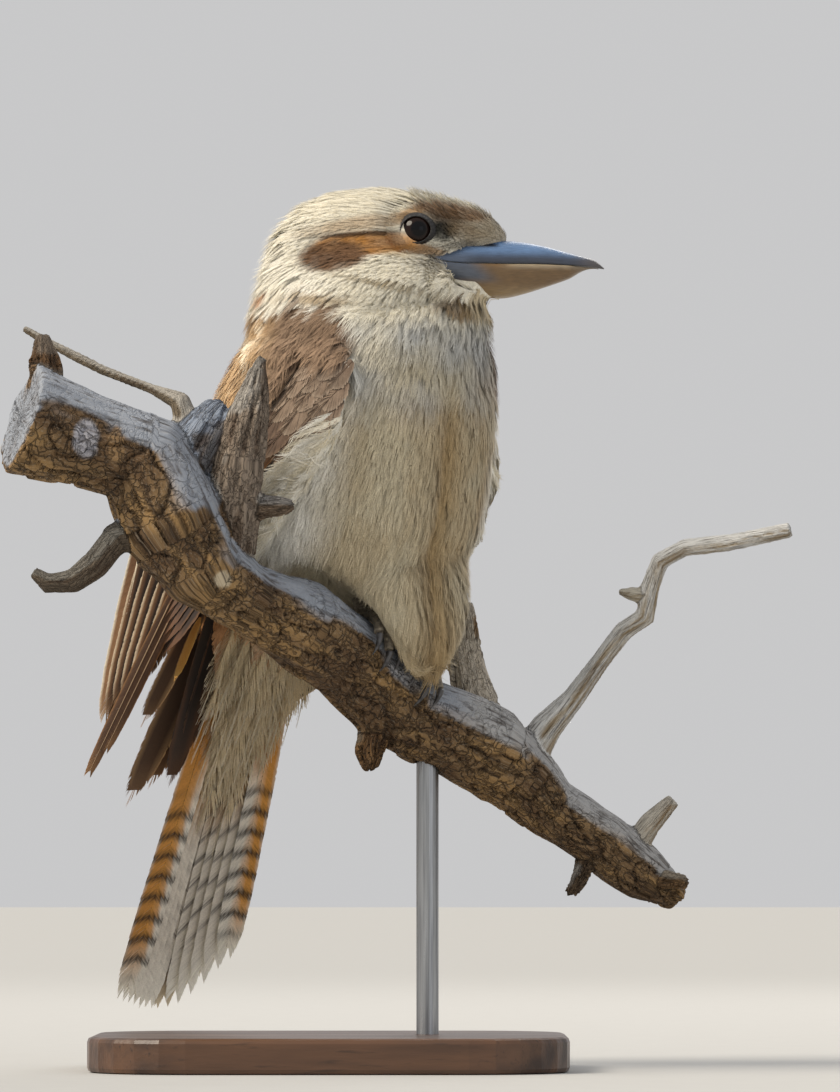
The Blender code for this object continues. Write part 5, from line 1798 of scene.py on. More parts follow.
@dataclass
class Wing:
    """One folded wing: its small feathers in rows, then the long ones that cross under the branch.

    A line has rows of a place in F, L and Z and, in hundredths, the way across there. The core has rows of a place
    along and the lowest and highest places across; the fanned feathers have a place across, drift and tip.
    """

    side: Side
    seed: int
    sink: float = 0.0018
    step: float = 0.0013
    near_line: Table = (
        (460, -420, 2790, -76, 5, 62), (120, -600, 2380, -76, 12, 62), (-360, -570, 1860, -70, 30, 60),
        (-750, -570, 1480, -62, 50, 55), (-1080, -560, 1120, -55, 65, 50),
    )
    far_line: Table = (
        (320, 430, 2770, -76, -5, 62), (20, 560, 2360, -76, -12, 62), (-600, 480, 1900, -66, -45, 55),
        (-1060, 170, 1540, -50, -75, 42), (-1330, -30, 1200, -40, -85, 34),
    )
    radii: tuple[float, ...] = (0.058, 0.062, 0.080, 0.140, 0.200)
    core: Table = (
        (-40, 20, 240), (40, -140, 440), (160, -210, 560), (360, -250, 610), (560, -260, 580), (740, -260, 460),
        (900, -260, 300), (1000, -240, 200),
    )
    core_depth: float = 0.0070
    fanned: Table = (
        (72, -62, 850), (30, -36, 815), (-12, -14, 775), (-54, 6, 735), (-96, 22, 685), (-138, 34, 620),
        (-178, 50, 550),
    )
    tips: tuple[int, ...] = (1950, 2005, 2030, 2035, 2020, 1990, 1940)
    blade: tuple[tuple[float, float], ...] = (
        (0.0, 0.34), (0.14, 0.80), (0.45, 1.0), (0.78, 0.96), (0.92, 0.78), (0.98, 0.52), (1.02, 0.20), (1.04, 0.0),
        (1.3, 0.0),
    )

    SOFT = Pattern(paint(122, 102, 86), paint(146, 126, 108), paint(178, 158, 138), paint(186, 166, 146), 0.6,
                   shaft=paint(112, 92, 76))
    MEDIAN = Pattern(paint(90, 72, 60), paint(104, 84, 70), paint(158, 134, 112), paint(150, 126, 104), 0.6,
                     shaft=paint(66, 48, 38))
    GREATER = Pattern(paint(44, 34, 28), paint(50, 38, 32), paint(120, 92, 66), paint(112, 84, 60), 0.5,
                      shaft=paint(40, 30, 25))
    STREAK = Pattern(paint(64, 46, 34), paint(96, 66, 40), paint(196, 140, 78), paint(190, 134, 74), 0.7,
                     shaft=paint(60, 42, 30))
    TAN = Pattern(paint(128, 100, 80), paint(158, 130, 108), paint(172, 146, 122), paint(184, 158, 132), 0.5,
                  shaft=paint(120, 94, 74))
    MANTLE = Pattern(paint(84, 62, 44), paint(176, 136, 92), paint(222, 190, 142), paint(206, 166, 114), 0.7,
                     shaft=paint(120, 84, 52))
    SPOTTED = Pattern(paint(110, 82, 56), paint(204, 166, 118), paint(240, 228, 204), paint(232, 208, 170), 0.8,
                      shaft=paint(150, 112, 74), tip_start=0.80)
    SECONDARY = Pattern(paint(52, 38, 31), paint(44, 32, 26), paint(96, 66, 44), paint(132, 94, 60), 0.55,
                        edge_start=0.80, shaft=paint(40, 29, 24))
    PRIMARY = Pattern(paint(84, 60, 42), paint(122, 86, 56), paint(110, 80, 54), paint(224, 208, 180), 1.0,
                      edge_start=0.84, shaft=paint(120, 92, 66), tip_start=0.97, inner=paint(36, 25, 20),
                      inner_start=-0.78, inner_from=-0.20, split=1.0)
    PALE_EDGE = Pattern(paint(112, 80, 56), paint(140, 104, 74), paint(164, 134, 102), paint(232, 222, 200), 1.0,
                        edge_start=0.80, shaft=paint(226, 212, 188), tip_start=0.97)
    NARROW = Pattern(paint(70, 50, 38), paint(82, 60, 46), paint(130, 98, 68), paint(150, 108, 66), 0.7,
                     edge_start=0.70, shaft=paint(160, 134, 104))

    def sheet(self) -> Sheet:
        """Makes the sheet that the wing lies on."""
        line = np.array(self.near_line if self.side is Side.RIGHT else self.far_line)
        return Sheet(metres(line[:, :3]), line[:, 3:] / 100.0, self.radii, self.side.sign)

    def slab(self) -> Mesh:
        """Makes the closed slab that fills the body under the feathers.

        Returns:
            The slab's mesh.
        """
        sheet, spots = self.sheet(), metres(self.core)
        rows, columns = len(spots), 7
        along = np.repeat(spots[:, 0], columns)
        share = np.tile(np.linspace(0.0, 1.0, columns), rows)
        across = np.repeat(spots[:, 1], columns) * (1.0 - share) + np.repeat(spots[:, 2], columns) * share
        edge = np.abs(share * 2.0 - 1.0) ** 4 * 0.3 * self.core_depth
        under = sheet.place(along, across, -self.core_depth + edge)
        over = sheet.place(along, across, -edge)
        size = rows * columns
        faces = []
        for r in range(rows - 1):
            for c in range(columns - 1):
                k = r * columns + c
                faces.append((k, k + 1, k + columns + 1, k + columns))
                faces.append((size + k, size + k + columns, size + k + columns + 1, size + k + 1))
            for k in (r * columns, r * columns + columns - 1):
                faces.append((k, k + columns, size + k + columns, size + k))
        for c in range(columns - 1):
            for k in (c, (rows - 1) * columns + c):
                faces.append((k, k + 1, size + k + 1, size + k))
        return faced_out(mesh_of("slab", np.concatenate((under, over)), [np.array(faces)], False))

    def rows(self) -> tuple[Row, ...]:
        """Lists the rows of small feathers, from those over the wrist to those on the back.

        Returns:
            The rows.
        """
        soft = Plume(self.SOFT, 34, fray=0.10, loose=0.03, camber=0.07, tip=0.60)
        median = Plume(self.MEDIAN, 34, fray=0.09, camber=0.07, tip=0.65)
        greater = Plume(self.GREATER, 40, fray=0.07, camber=0.08, tip=0.50)
        streak = Plume(self.STREAK, 40, fray=0.07, camber=0.08, tip=0.50)
        tan = Plume(self.TAN, 44, fray=0.06, camber=0.08, tip=0.55)
        mantle = Plume(self.MANTLE, 38, fray=0.12, loose=0.05, camber=0.07, tip=0.60)
        spotted = Plume(self.SPOTTED, 38, fray=0.12, loose=0.05, camber=0.07, tip=0.60)
        return (
            Row(-0.006, -0.008, 0.022, 6, 0.018, 0.0105, soft, 0.065),
            Row(0.002, -0.013, 0.023, 7, 0.018, 0.0108, soft, 0.065),
            Row(0.010, -0.016, 0.023, 7, 0.018, 0.0112, soft, 0.065),
            Row(0.018, -0.018, 0.022, 7, 0.018, 0.0114, soft, 0.065),
            Row(0.026, -0.020, 0.018, 6, 0.021, 0.0114, median, 0.070),
            Row(0.034, -0.021, 0.014, 5, 0.026, 0.0116, greater, 0.10),
            Row(0.037, -0.018, -0.006, 2, 0.024, 0.0100, streak, 0.13),
            Row(0.045, -0.021, 0.012, 5, 0.036, 0.0120, greater, 0.09),
            Row(0.038, 0.010, 0.034, 4, 0.040, 0.0150, tan, 0.10),
            Row(0.056, 0.004, 0.030, 4, 0.046, 0.0150, tan, 0.08),
            Row(-0.002, 0.026, 0.046, 4, 0.024, 0.0130, mantle, 0.10),
            Row(0.010, 0.029, 0.052, 5, 0.026, 0.0140, spotted, 0.10),
            Row(0.023, 0.030, 0.055, 5, 0.028, 0.0146, mantle, 0.09),
            Row(0.034, 0.032, 0.056, 5, 0.032, 0.0150, spotted, 0.09),
            Row(0.048, 0.030, 0.050, 4, 0.044, 0.0154, mantle, 0.08),
            Row(0.064, 0.022, 0.040, 4, 0.058, 0.0156, mantle, 0.08),
        )

    def build(self) -> None:
        """Makes the wing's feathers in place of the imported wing."""
        rng = np.random.default_rng(self.seed)
        sheet = self.sheet()
        sheet.swell = 0.0030
        finish = FeatherFinish(f"wing_feathers_{self.side.value}", contrast=0.12).make()
        small, long = Pile(), Pile()
        rows = self.rows()
        cells = iter(map_cells(sum(row.count for row in rows)))
        for row in rows:
            pitch = (row.highest - row.lowest) / (row.count - 1)
            for k in range(row.count):
                reach = row.length * rng.uniform(0.92, 1.06)
                heights = (-self.sink, -self.sink + row.rise * reach * 0.25, -self.sink + row.rise * reach)
                root = (row.start + rng.uniform(-0.0012, 0.0012),
                        row.lowest + pitch * k + rng.uniform(-0.2, 0.2) * pitch)
                row.plume.add(small, sheet, root, root[0] + reach, row.width, heights, self.step / pitch * 0.45,
                              rng.uniform(-0.0012, 0.0012), next(cells), rng, rng.uniform(0.88, 1.12))
        secondary = Plume(self.SECONDARY, 60, fray=0.03, camber=0.08, tip=0.90)
        primary = Plume(self.PRIMARY, 96, fray=0.02, camber=0.10, tip=0.92, shaft=0.00055, backed=False,
                        outline=self.blade)
        narrow = replace(primary, pattern=self.NARROW, shaft=0.00036)
        cells = iter(map_cells(26))
        count = 10
        pitch = 0.036 / (count - 1)
        heights = (-self.sink - 0.0010, -self.sink + 0.0002, -self.sink + 0.0016)
        for k in range(count):
            secondary.add(long, sheet, (0.066, -0.012 + pitch * k), 0.066 + 0.072 - 0.0014 * k, 0.0130, heights,
                          self.step / pitch * 0.8, 0.0, next(cells), rng, rng.uniform(0.9, 1.1))
        if self.side is Side.RIGHT:
            fan = fan_sheet()
            for k, (across, drift, tip) in enumerate(metres(self.fanned)):
                primary.add(long, fan, (0.0, across), tip, 0.0092, (0.0012, 0.0012, 0.0), 0.06, drift, next(cells),
                            rng, rng.uniform(0.92, 1.08), pattern=self.PALE_EDGE if k == 0 else None)
                fan.root = fan.root + fan.outer * self.step * 0.6
            for across, drift, tip in ((-0.0150, 0.0160, 0.1096), (-0.0180, 0.0150, 0.0980)):
                narrow.add(long, fan, (0.010, across), tip, 0.0056, (0.0, 0.0, 0.0), 0.05, drift, next(cells), rng)
        else:
            for k, tip in enumerate(metres(self.tips)):
                primary.add(long, sheet, (0.084, -0.020 + 0.0030 * k), tip, 0.0100, (-0.0040, -0.0040, -0.0034),
                            self.step / 0.0036, 0.004, next(cells), rng, rng.uniform(0.9, 1.1))
        name = f"wing_{self.side.value}"
        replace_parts(put(f"{name}_coverts", small.mesh("coverts"), finish), name)
        put(f"{name}_quills", long.mesh("quills"), finish)


@dataclass
class Tail:
    """The folded tail: twelve barred feathers and the soft rows over and under their roots.

    The core has rows of a place along, a half width and a half depth.
    """

    seed: int = 77
    pairs: int = 6
    root_pitch: float = 0.0026
    tip_pitch: float = 0.0041
    width: float = 0.0125
    step: float = 0.0014
    shorter: float = 0.0022
    core: Table = (
        (-220, 300, 220), (-80, 300, 210), (80, 260, 170), (220, 210, 120), (360, 150, 70), (440, 80, 30),
    )

    # UNDER is partly the coverts' own cream and partly painted shade under the tail, darker than the white vent.
    UNDER = Pattern(paint(196, 174, 134), paint(216, 200, 166), paint(234, 226, 206), paint(234, 226, 206), 0.4,
                    shaft=paint(210, 194, 160))
    UPPER = Pattern(paint(150, 96, 54), paint(160, 100, 52), paint(196, 160, 110), paint(120, 80, 48), 0.4,
                    bar=paint(40, 30, 24), bar_share=0.8, bar_pitch=0.008, shaft=paint(90, 60, 40))
    OUTER = Pattern(paint(198, 138, 66), paint(214, 154, 74), paint(240, 236, 222), paint(242, 238, 226), 0.75,
                    edge_start=0.84, bar=paint(28, 22, 19), bar_share=0.94, bar_thick=0.34, bar_start=0.45,
                    bar_end=0.95, shaft=paint(96, 62, 34), inner=paint(238, 232, 218))
    PALE = Pattern(paint(184, 140, 80), paint(238, 232, 218), paint(242, 238, 226), paint(238, 233, 220), 0.5,
                   bar=paint(48, 37, 30), bar_share=0.80, bar_thick=0.18, bar_pitch=0.0124, bar_start=0.10,
                   bar_end=0.86, bar_lean=0.9, shaft=paint(190, 166, 130), turn=(0.40, 0.60))
    INNER = Pattern(paint(150, 96, 50), paint(150, 104, 62), paint(214, 200, 174), paint(170, 126, 80), 0.5,
                    bar=paint(38, 29, 24), bar_share=0.9, bar_thick=0.40, bar_start=0.05, bar_end=0.92,
                    shaft=paint(110, 76, 48))
    CROSSED = Pattern(paint(52, 38, 30), paint(96, 70, 50), paint(134, 102, 72), paint(196, 158, 114), 0.95,
                      edge_start=0.72, shaft=paint(60, 44, 34), tip_start=0.95)
    DARK = Pattern(paint(46, 32, 24), paint(58, 40, 28), paint(96, 64, 38), paint(120, 76, 38), 0.5, edge_start=0.60,
                   bar=paint(26, 19, 15), bar_share=0.8, bar_pitch=0.012, bar_thick=0.4, shaft=paint(40, 28, 22))
    OCHRE = Pattern(paint(190, 130, 52), paint(206, 148, 66), paint(222, 176, 96), paint(222, 176, 96), 0.5,
                    shaft=paint(170, 118, 52))

    crossed = (
        (CROSSED, (-0.034, -0.016), 0.0700, 0.0170, -0.0010, -0.026),
        (CROSSED, (-0.034, -0.012), 0.0640, 0.0150, 0.0010, -0.020),
        (CROSSED, (-0.020, -0.030), 0.0350, 0.0120, -0.0040, -0.017),
        (DARK, (-0.030, -0.026), 0.0600, 0.0130, -0.0080, -0.004),
        (DARK, (-0.026, -0.020), 0.0480, 0.0120, -0.0070, -0.006),
        (OCHRE, (-0.010, -0.036), 0.0150, 0.0050, -0.0100, -0.006),
    )

    def filler(self) -> Mesh:
        """Makes the closed base that the tail grows from.

        Returns:
            The base's mesh.
        """
        sheet, sides = tail_sheet(), 20
        cos, sin = np.cos(swing(sides)), np.sin(swing(sides))
        return lofted("tail_base", [sheet.place(np.full(sides, along), cos * wide, sin * deep)
                                    for along, wide, deep in metres(self.core)])

    def kind(self, pair: int, side: float) -> Pattern:
        """Chooses the colours of one of the twelve.

        Args:
            pair: its pair, counted from the middle.
            side: its side, -1 or 1.

        Returns:
            The colours.
        """
        pattern = self.INNER if pair == 0 else self.PALE
        if pair == 5:
            pattern = replace(self.OUTER, split=side, inner_start=0.35 if side < 0.0 else -0.10)
        if side < 0.0 and pair in (2, 3, 4):
            return replace(pattern, bar_share=0.62 - 0.14 * pair, bar_pitch=0.0170)
        return replace(pattern, bar_pitch=0.0104) if pair in (1, 3) else pattern

    def build(self) -> None:
        """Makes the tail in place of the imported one."""
        rng = np.random.default_rng(self.seed)
        sheet = tail_sheet()
        quills, soft = Pile(), Pile()
        plume = Plume(self.OUTER, 130, camber=0.04, fray=0.025, lean=0.9, shaft=0.00045, tip=0.95, backed=False,
                      outline=((0.0, 0.34), (0.14, 0.70), (0.45, 0.94), (0.80, 1.0), (0.93, 0.90), (0.98, 0.62),
                               (1.02, 0.30), (1.05, 0.0), (1.3, 0.0)))
        cells = iter(map_cells(self.pairs * 2 + len(self.crossed)))
        for pair in range(self.pairs):
            for side in (-1.0, 1.0):
                place = (pair + 0.5) * side
                level = -self.step * pair - (0.5 * self.step if side > 0.0 else 0.0)
                tip = sheet.length - self.shorter * pair**1.3 * (1.55 if side > 0.0 else 0.50)
                phase = (0.0, 0.55, 0.18, 0.80, 0.38, 0.66)[pair] + 0.23 * (side > 0.0)
                plume.add(quills, sheet, (0.0, place * self.root_pitch), tip, self.width + 0.0004 * pair,
                          (level, level, level), 0.0, place * (self.tip_pitch - self.root_pitch), next(cells), rng,
                          1.0, phase, self.kind(pair, side))
        for kind, root, tip, width, level, drift in self.crossed:
            crossed = Plume(kind, 84, fray=0.03, camber=0.12, tip=0.90, outline=Wing.blade)
            crossed.add(quills, sheet, root, tip, width, (level, level, level - 0.002), -0.10, drift, next(cells), rng)
        under = Plume(self.UNDER, 58, fray=0.22, loose=0.05, camber=0.22, lean=2.4, tip=0.10, backed=False)
        upper = Plume(self.UPPER, 30, fray=0.15, camber=0.2)
        rows = (
            (-0.014, 0.034, 8, 0.0060, 0.012, 0.0190, -1.0, under),
            (-0.004, 0.036, 8, 0.0056, 0.012, 0.0176, -1.0, under),
            (0.006, 0.038, 7, 0.0052, 0.012, 0.0150, -1.0, under),
            (0.016, 0.042, 6, 0.0050, 0.0115, 0.0120, -1.0, under),
            (0.026, 0.046, 5, 0.0050, 0.0115, 0.0092, -1.0, under),
            (0.036, 0.046, 3, 0.0050, 0.011, 0.0078, -1.0, under),
            (-0.008, 0.040, 7, 0.0055, 0.013, 0.0175, 1.0, upper),
            (0.004, 0.046, 6, 0.0052, 0.013, 0.0150, 1.0, upper),
            (0.016, 0.050, 4, 0.0055, 0.014, 0.0110, 1.0, upper),
        )
        cells = iter(map_cells(sum(row[2] for row in rows)))
        for start, reach, count, pitch, width, level, facing, kind in rows:
            for k in range(count):
                across = (k - (count - 1) / 2.0) * pitch
                size = reach * rng.uniform(0.86, 1.08)
                bend = level - abs(across) ** 2 * 9.0
                heights = (facing * (bend - 0.002), facing * bend, facing * (bend - size * 0.06))
                kind.add(soft, sheet, (start, across), start + size, width, heights, -facing * self.step / pitch * 0.5,
                         across * 0.15 + rng.uniform(-0.002, 0.002), next(cells), rng, rng.uniform(0.9, 1.05))
        barred = FeatherFinish("barred_feathers", contrast=0.10).make()
        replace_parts(put("tail_quills", quills.mesh("quills"), barred), "tail")
        put("tail_coverts", soft.mesh("coverts"), FeatherFinish("vent_feathers").make())


# Bill, eyes, feet and claws


@dataclass
class Bill:
    """The heavy bill: dark upper half with a hooked tip and a nostril slit, paler lower half.

    Its sections have rows of a place along, mouth height, rise, drop and half width.
    """

    gap: float = 0.0003
    end: float = 0.0733
    slit: tuple[float, float, float] = (0.0205, 0.0305, 0.3276)
    sections: Table = (
        (20, 3220, 48, 80, 158), (90, 3205, 62, 98, 152), (160, 3198, 84, 112, 138), (250, 3198, 98, 124, 119),
        (338, 3198, 99, 127, 101), (425, 3199, 89, 108, 86), (500, 3199, 74, 84, 72), (570, 3197, 57, 58, 58),
        (650, 3194, 38, 26, 40), (700, 3190, 26, 12, 24), (733, 3184, 4, 2, 3),
    )
    rings: int = 90
    sides: int = 40

    def section(self, x: Array) -> Array:
        """Reads the bill's sizes at places along it, smoothly between those given.

        Args:
            x: places along it.

        Returns:
            Rows of mouth height, rise, drop and half width.
        """
        spots = metres(self.sections)
        slopes = np.gradient(spots[:, 1:], spots[:, 0], axis=0)
        step = np.clip(np.searchsorted(spots[:, 0], x) - 1, 0, len(spots) - 2)
        span = (spots[step + 1, 0] - spots[step, 0])[:, None]
        t = ((x - spots[step, 0])[:, None]) / span
        return hermite(t, spots[step, 1:], slopes[step] * span, spots[step + 1, 1:], slopes[step + 1] * span)

    def half(self, upper: bool) -> tuple[Array, list[Array]]:
        """Makes one half of the bill.

        Args:
            upper: whether it is the upper half.

        Returns:
            The points and the faces.
        """
        start, end = self.sections[0][0] / 10000.0, self.end if upper else self.end - 0.0022
        x = start + (end - start) * (1.0 - (1.0 - np.linspace(0.0, 1.0, self.rings)) ** 1.5)
        mouth, rise, drop, wide = np.maximum(self.section(x), 0.00005).T
        sign = 1.0 if upper else -1.0
        depth = rise if upper else drop
        if not upper:
            fade = ramp(x, end - 0.012, end)
            depth = depth * (1.0 - fade) + 0.0002 * fade
            wide = wide * (1.0 - 0.85 * fade)
        level = mouth + sign * self.gap / 2.0
        angle = np.linspace(0.0, math.pi, self.sides + 1)
        high = np.sin(angle)[None, :] ** 0.85 * depth[:, None]
        inset = 0.06 * np.sin(angle * 2.0)[None, :] ** 2 * ramp(x, 0.010, 0.03)[:, None]
        edge = np.exp(-(((np.abs(np.cos(angle)) - 1.0) / 0.05) ** 2))[None, :]
        across = np.cos(angle)[None, :] * wide[:, None] * (1.0 - inset) * (1.0 + 0.02 * edge)
        share = np.linspace(1.0, -1.0, 9)[1:-1]
        inward = share[None, :] * -wide[:, None] * 0.98
        vault = 0.0016 * (1.0 - share[None, :] ** 2) * np.minimum(1.0, depth[:, None] / 0.004)
        loop = np.concatenate([
            np.stack((np.repeat(x[:, None], rows.shape[1], axis=1), HEAD_Y + rows, level[:, None] + sign * up), axis=2)
            for rows, up in ((across, high), (inward, vault))
        ], axis=1)
        around, middles = loop.shape[1], np.stack([loop[0].mean(axis=0), loop[-1].mean(axis=0)])
        points = loop.reshape(-1, 3)
        k = np.arange(around)
        caps = [np.stack((np.full(around, len(points) + number), r * around + k, r * around + (k + 1) % around), axis=1)
                for number, r in enumerate((0, self.rings - 1))]
        return np.concatenate((points, middles)), [ring_quads(self.rings, around), np.concatenate(caps)]

    def paint_upper(self, points: Array) -> Array:
        """Sinks the nostril slits into the upper half and colours it.

        Args:
            points: rows of X, Y and Z, whose Y it changes.

        Returns:
            Rows of linear colour.
        """
        x, z = points[:, 0], points[:, 2]
        back, front, height = self.slit
        gap = np.hypot((z - height) / 0.0008,
                       np.minimum(np.abs(x - back), np.abs(x - front)) * ((x < back) | (x > front)) / 0.0012)
        for side in (-1.0, 1.0):
            points[:, 1] -= side * (np.exp(-(gap**2)) * (np.sign(points[:, 1] - HEAD_Y) == side)) * 0.0011
        rise = (z - self.section(np.clip(x, 0.002, self.end))[:, 0]) / 0.0099
        # hole: the nostril slit, painted near black as painted shade inside it.
        hole = np.exp(-(((z - height) / 0.0009) ** 2)) * ramp(x, 0.0195, 0.0225) * (1.0 - ramp(x, 0.029, 0.032))
        return painted(len(x), paint(50, 57, 72),
                       # The paler blue over the top of the upper half is painted sky reflection on the dark slate horn.
                       (paint(92, 124, 166), ramp(rise, 0.16, 0.62) * 0.90),
                       (paint(96, 112, 136), (1.0 - ramp(x, 0.010, 0.026)) * 0.7),
                       (paint(86, 78, 72), ramp(x, 0.058, 0.0735) * 0.75),
                       (paint(18, 16, 18), hole))

    def paint_lower(self, points: Array) -> Array:
        """Colours the lower half.

        Args:
            points: rows of X, Y and Z.

        Returns:
            Rows of linear colour.
        """
        x, z = points[:, 0], points[:, 2]
        slate = (1.0 - ramp(x + (z - 0.3165) * 1.1, 0.020, 0.031)) * ramp(z, 0.3110, 0.3150)
        return painted(len(x), paint(112, 86, 52),
                       (paint(160, 136, 98), (1.0 - ramp(z, 0.3085, 0.3130)) * 0.6),
                       (paint(186, 174, 150), ramp(z, 0.3172, 0.3196) * ramp(x, 0.030, 0.040) * 0.5),
                       (paint(82, 90, 104), slate),
                       (paint(84, 70, 56), ramp(x, 0.058, 0.070) * 0.7))

    def build(self) -> list[Object]:
        """Makes both halves.

        Returns:
            The pieces.
        """
        pieces = []
        for name, upper in (("bill_upper", True), ("bill_lower", False)):
            points, faces = self.half(upper)
            colours = self.paint_upper(points) if upper else self.paint_lower(points)
            colours = colours * (1.0 + 0.12 * cloud(points, 300.0, 2.0))[:, None]
            points[:, 0] += HEAD_SHIFT
            mesh = faced_out(mesh_of(name, points, faces))
            set_tint(mesh, colours)
            finish = HornFinish(f"{name}_horn", 0.36, 0.35, 900.0, (0.25, 1.0, 2.2), 0.00025, 0.14).make()
            thing = put(name, mesh, finish)
            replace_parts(thing, name)
            pieces.append(thing)
        return pieces


@dataclass
class Eyes:
    """Dark wet eyes in slate lids."""

    x: float = 0.0344
    z: float = 0.3324
    out: float = 0.0158
    radius: float = 0.0070

    def build(self) -> None:
        """Makes both eyes with their lids."""
        for side in Side:
            self.eye(side)
            self.lid(side)

    def eye(self, side: Side) -> None:
        """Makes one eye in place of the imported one.

        Args:
            side: the bird's side.
        """
        centre = np.array((self.x, HEAD_Y + side.sign * self.out, self.z))
        look = unit(np.array([[0.16, side.sign, 0.02]]))[0]
        right = unit(np.cross(look, (0.0, 0.0, 1.0))[None])[0]
        up = np.cross(right, look)
        rings, sides = 40, 48
        polar, turn = np.linspace(0.0, math.pi, rings), swing(sides)
        bulge = 1.0 + 0.05 * np.exp(-((polar / 0.62) ** 2))
        ring = np.sin(polar)[:, None, None] * (np.cos(turn)[None, :, None] * right + np.sin(turn)[None, :, None] * up)
        body = ring + np.cos(polar)[:, None, None] * look
        points = (centre + body * (self.radius * 0.985 * bulge)[:, None, None]).reshape(-1, 3)
        angle = np.repeat(polar, sides)
        colours = painted(len(points), paint(34, 22, 18), (paint(7, 7, 10), 1.0 - ramp(angle, 0.42, 0.50)),
                          (paint(14, 12, 12), ramp(angle, 0.74, 0.92)))
        name = f"eye_{side.value}"
        mesh = faced_out(mesh_of(name, points, [ring_quads(rings, sides)]), 1e-6)
        nearest = KDTree(len(points))
        for k, place in enumerate(points.tolist()):
            nearest.insert(place, k)
        nearest.balance()
        set_tint(mesh, colours[[nearest.find(place)[1] for place in points_of(mesh).tolist()]])
        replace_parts(put(name, mesh, EyeFinish(f"eye_glass_{side.value}").make()), name)

    def lid(self, side: Side) -> None:
        """Makes the beaded ring of one eye's lids.

        Args:
            side: the bird's side.
        """
        way, sides, loops = side.sign, 96, 12
        turn = swing(sides)
        rings = []
        for number, reach in enumerate(np.linspace(0.0049, 0.0073, loops)):
            share = number / (loops - 1)
            beads = 0.00022 * np.sin(turn * 24.0) * math.sin(math.pi * share)
            crease = 0.00025 * math.sin(share * math.pi * 3.0)
            flat = np.sqrt(np.maximum((self.radius * 1.03) ** 2 - reach**2, 0.0))
            height = self.out + flat + 0.0009 * math.sin(math.pi * share) ** 0.7 - 0.0002 + beads + crease
            x = self.x + np.cos(turn) * reach * 1.10 + 0.0003 * np.cos(turn)
            z = self.z + np.sin(turn) * reach * (0.96 - 0.05 * np.cos(2.0 * turn))
            rings.append(np.stack((x, HEAD_Y + way * height, z), axis=1))
        rings = [rings[0] - (0.0, way * 0.0012, 0.0), *rings, rings[-1] - (0.0, way * 0.0022, 0.0)]
        rows = np.concatenate(rings)
        mesh = faced_out(mesh_of(f"lid_{side.value}", rows, [ring_quads(len(rings), sides, True)]))
        set_tint(mesh, painted(len(rows), paint(24, 22, 22),
                               (paint(44, 42, 40), np.clip(cloud(rows, 700.0, 4.0), 0.0, 1.0) * 0.7),
                               (paint(24, 20, 18), np.repeat(np.arange(len(rings)) < 3, sides) * 0.85)))
        finish = HornFinish(f"lid_skin_{side.value}", 0.5, 0.1, 1500.0, (1.0, 1.0, 1.0), 0.0002, 0.2).make()
        put(f"lid_{side.value}", mesh, finish)


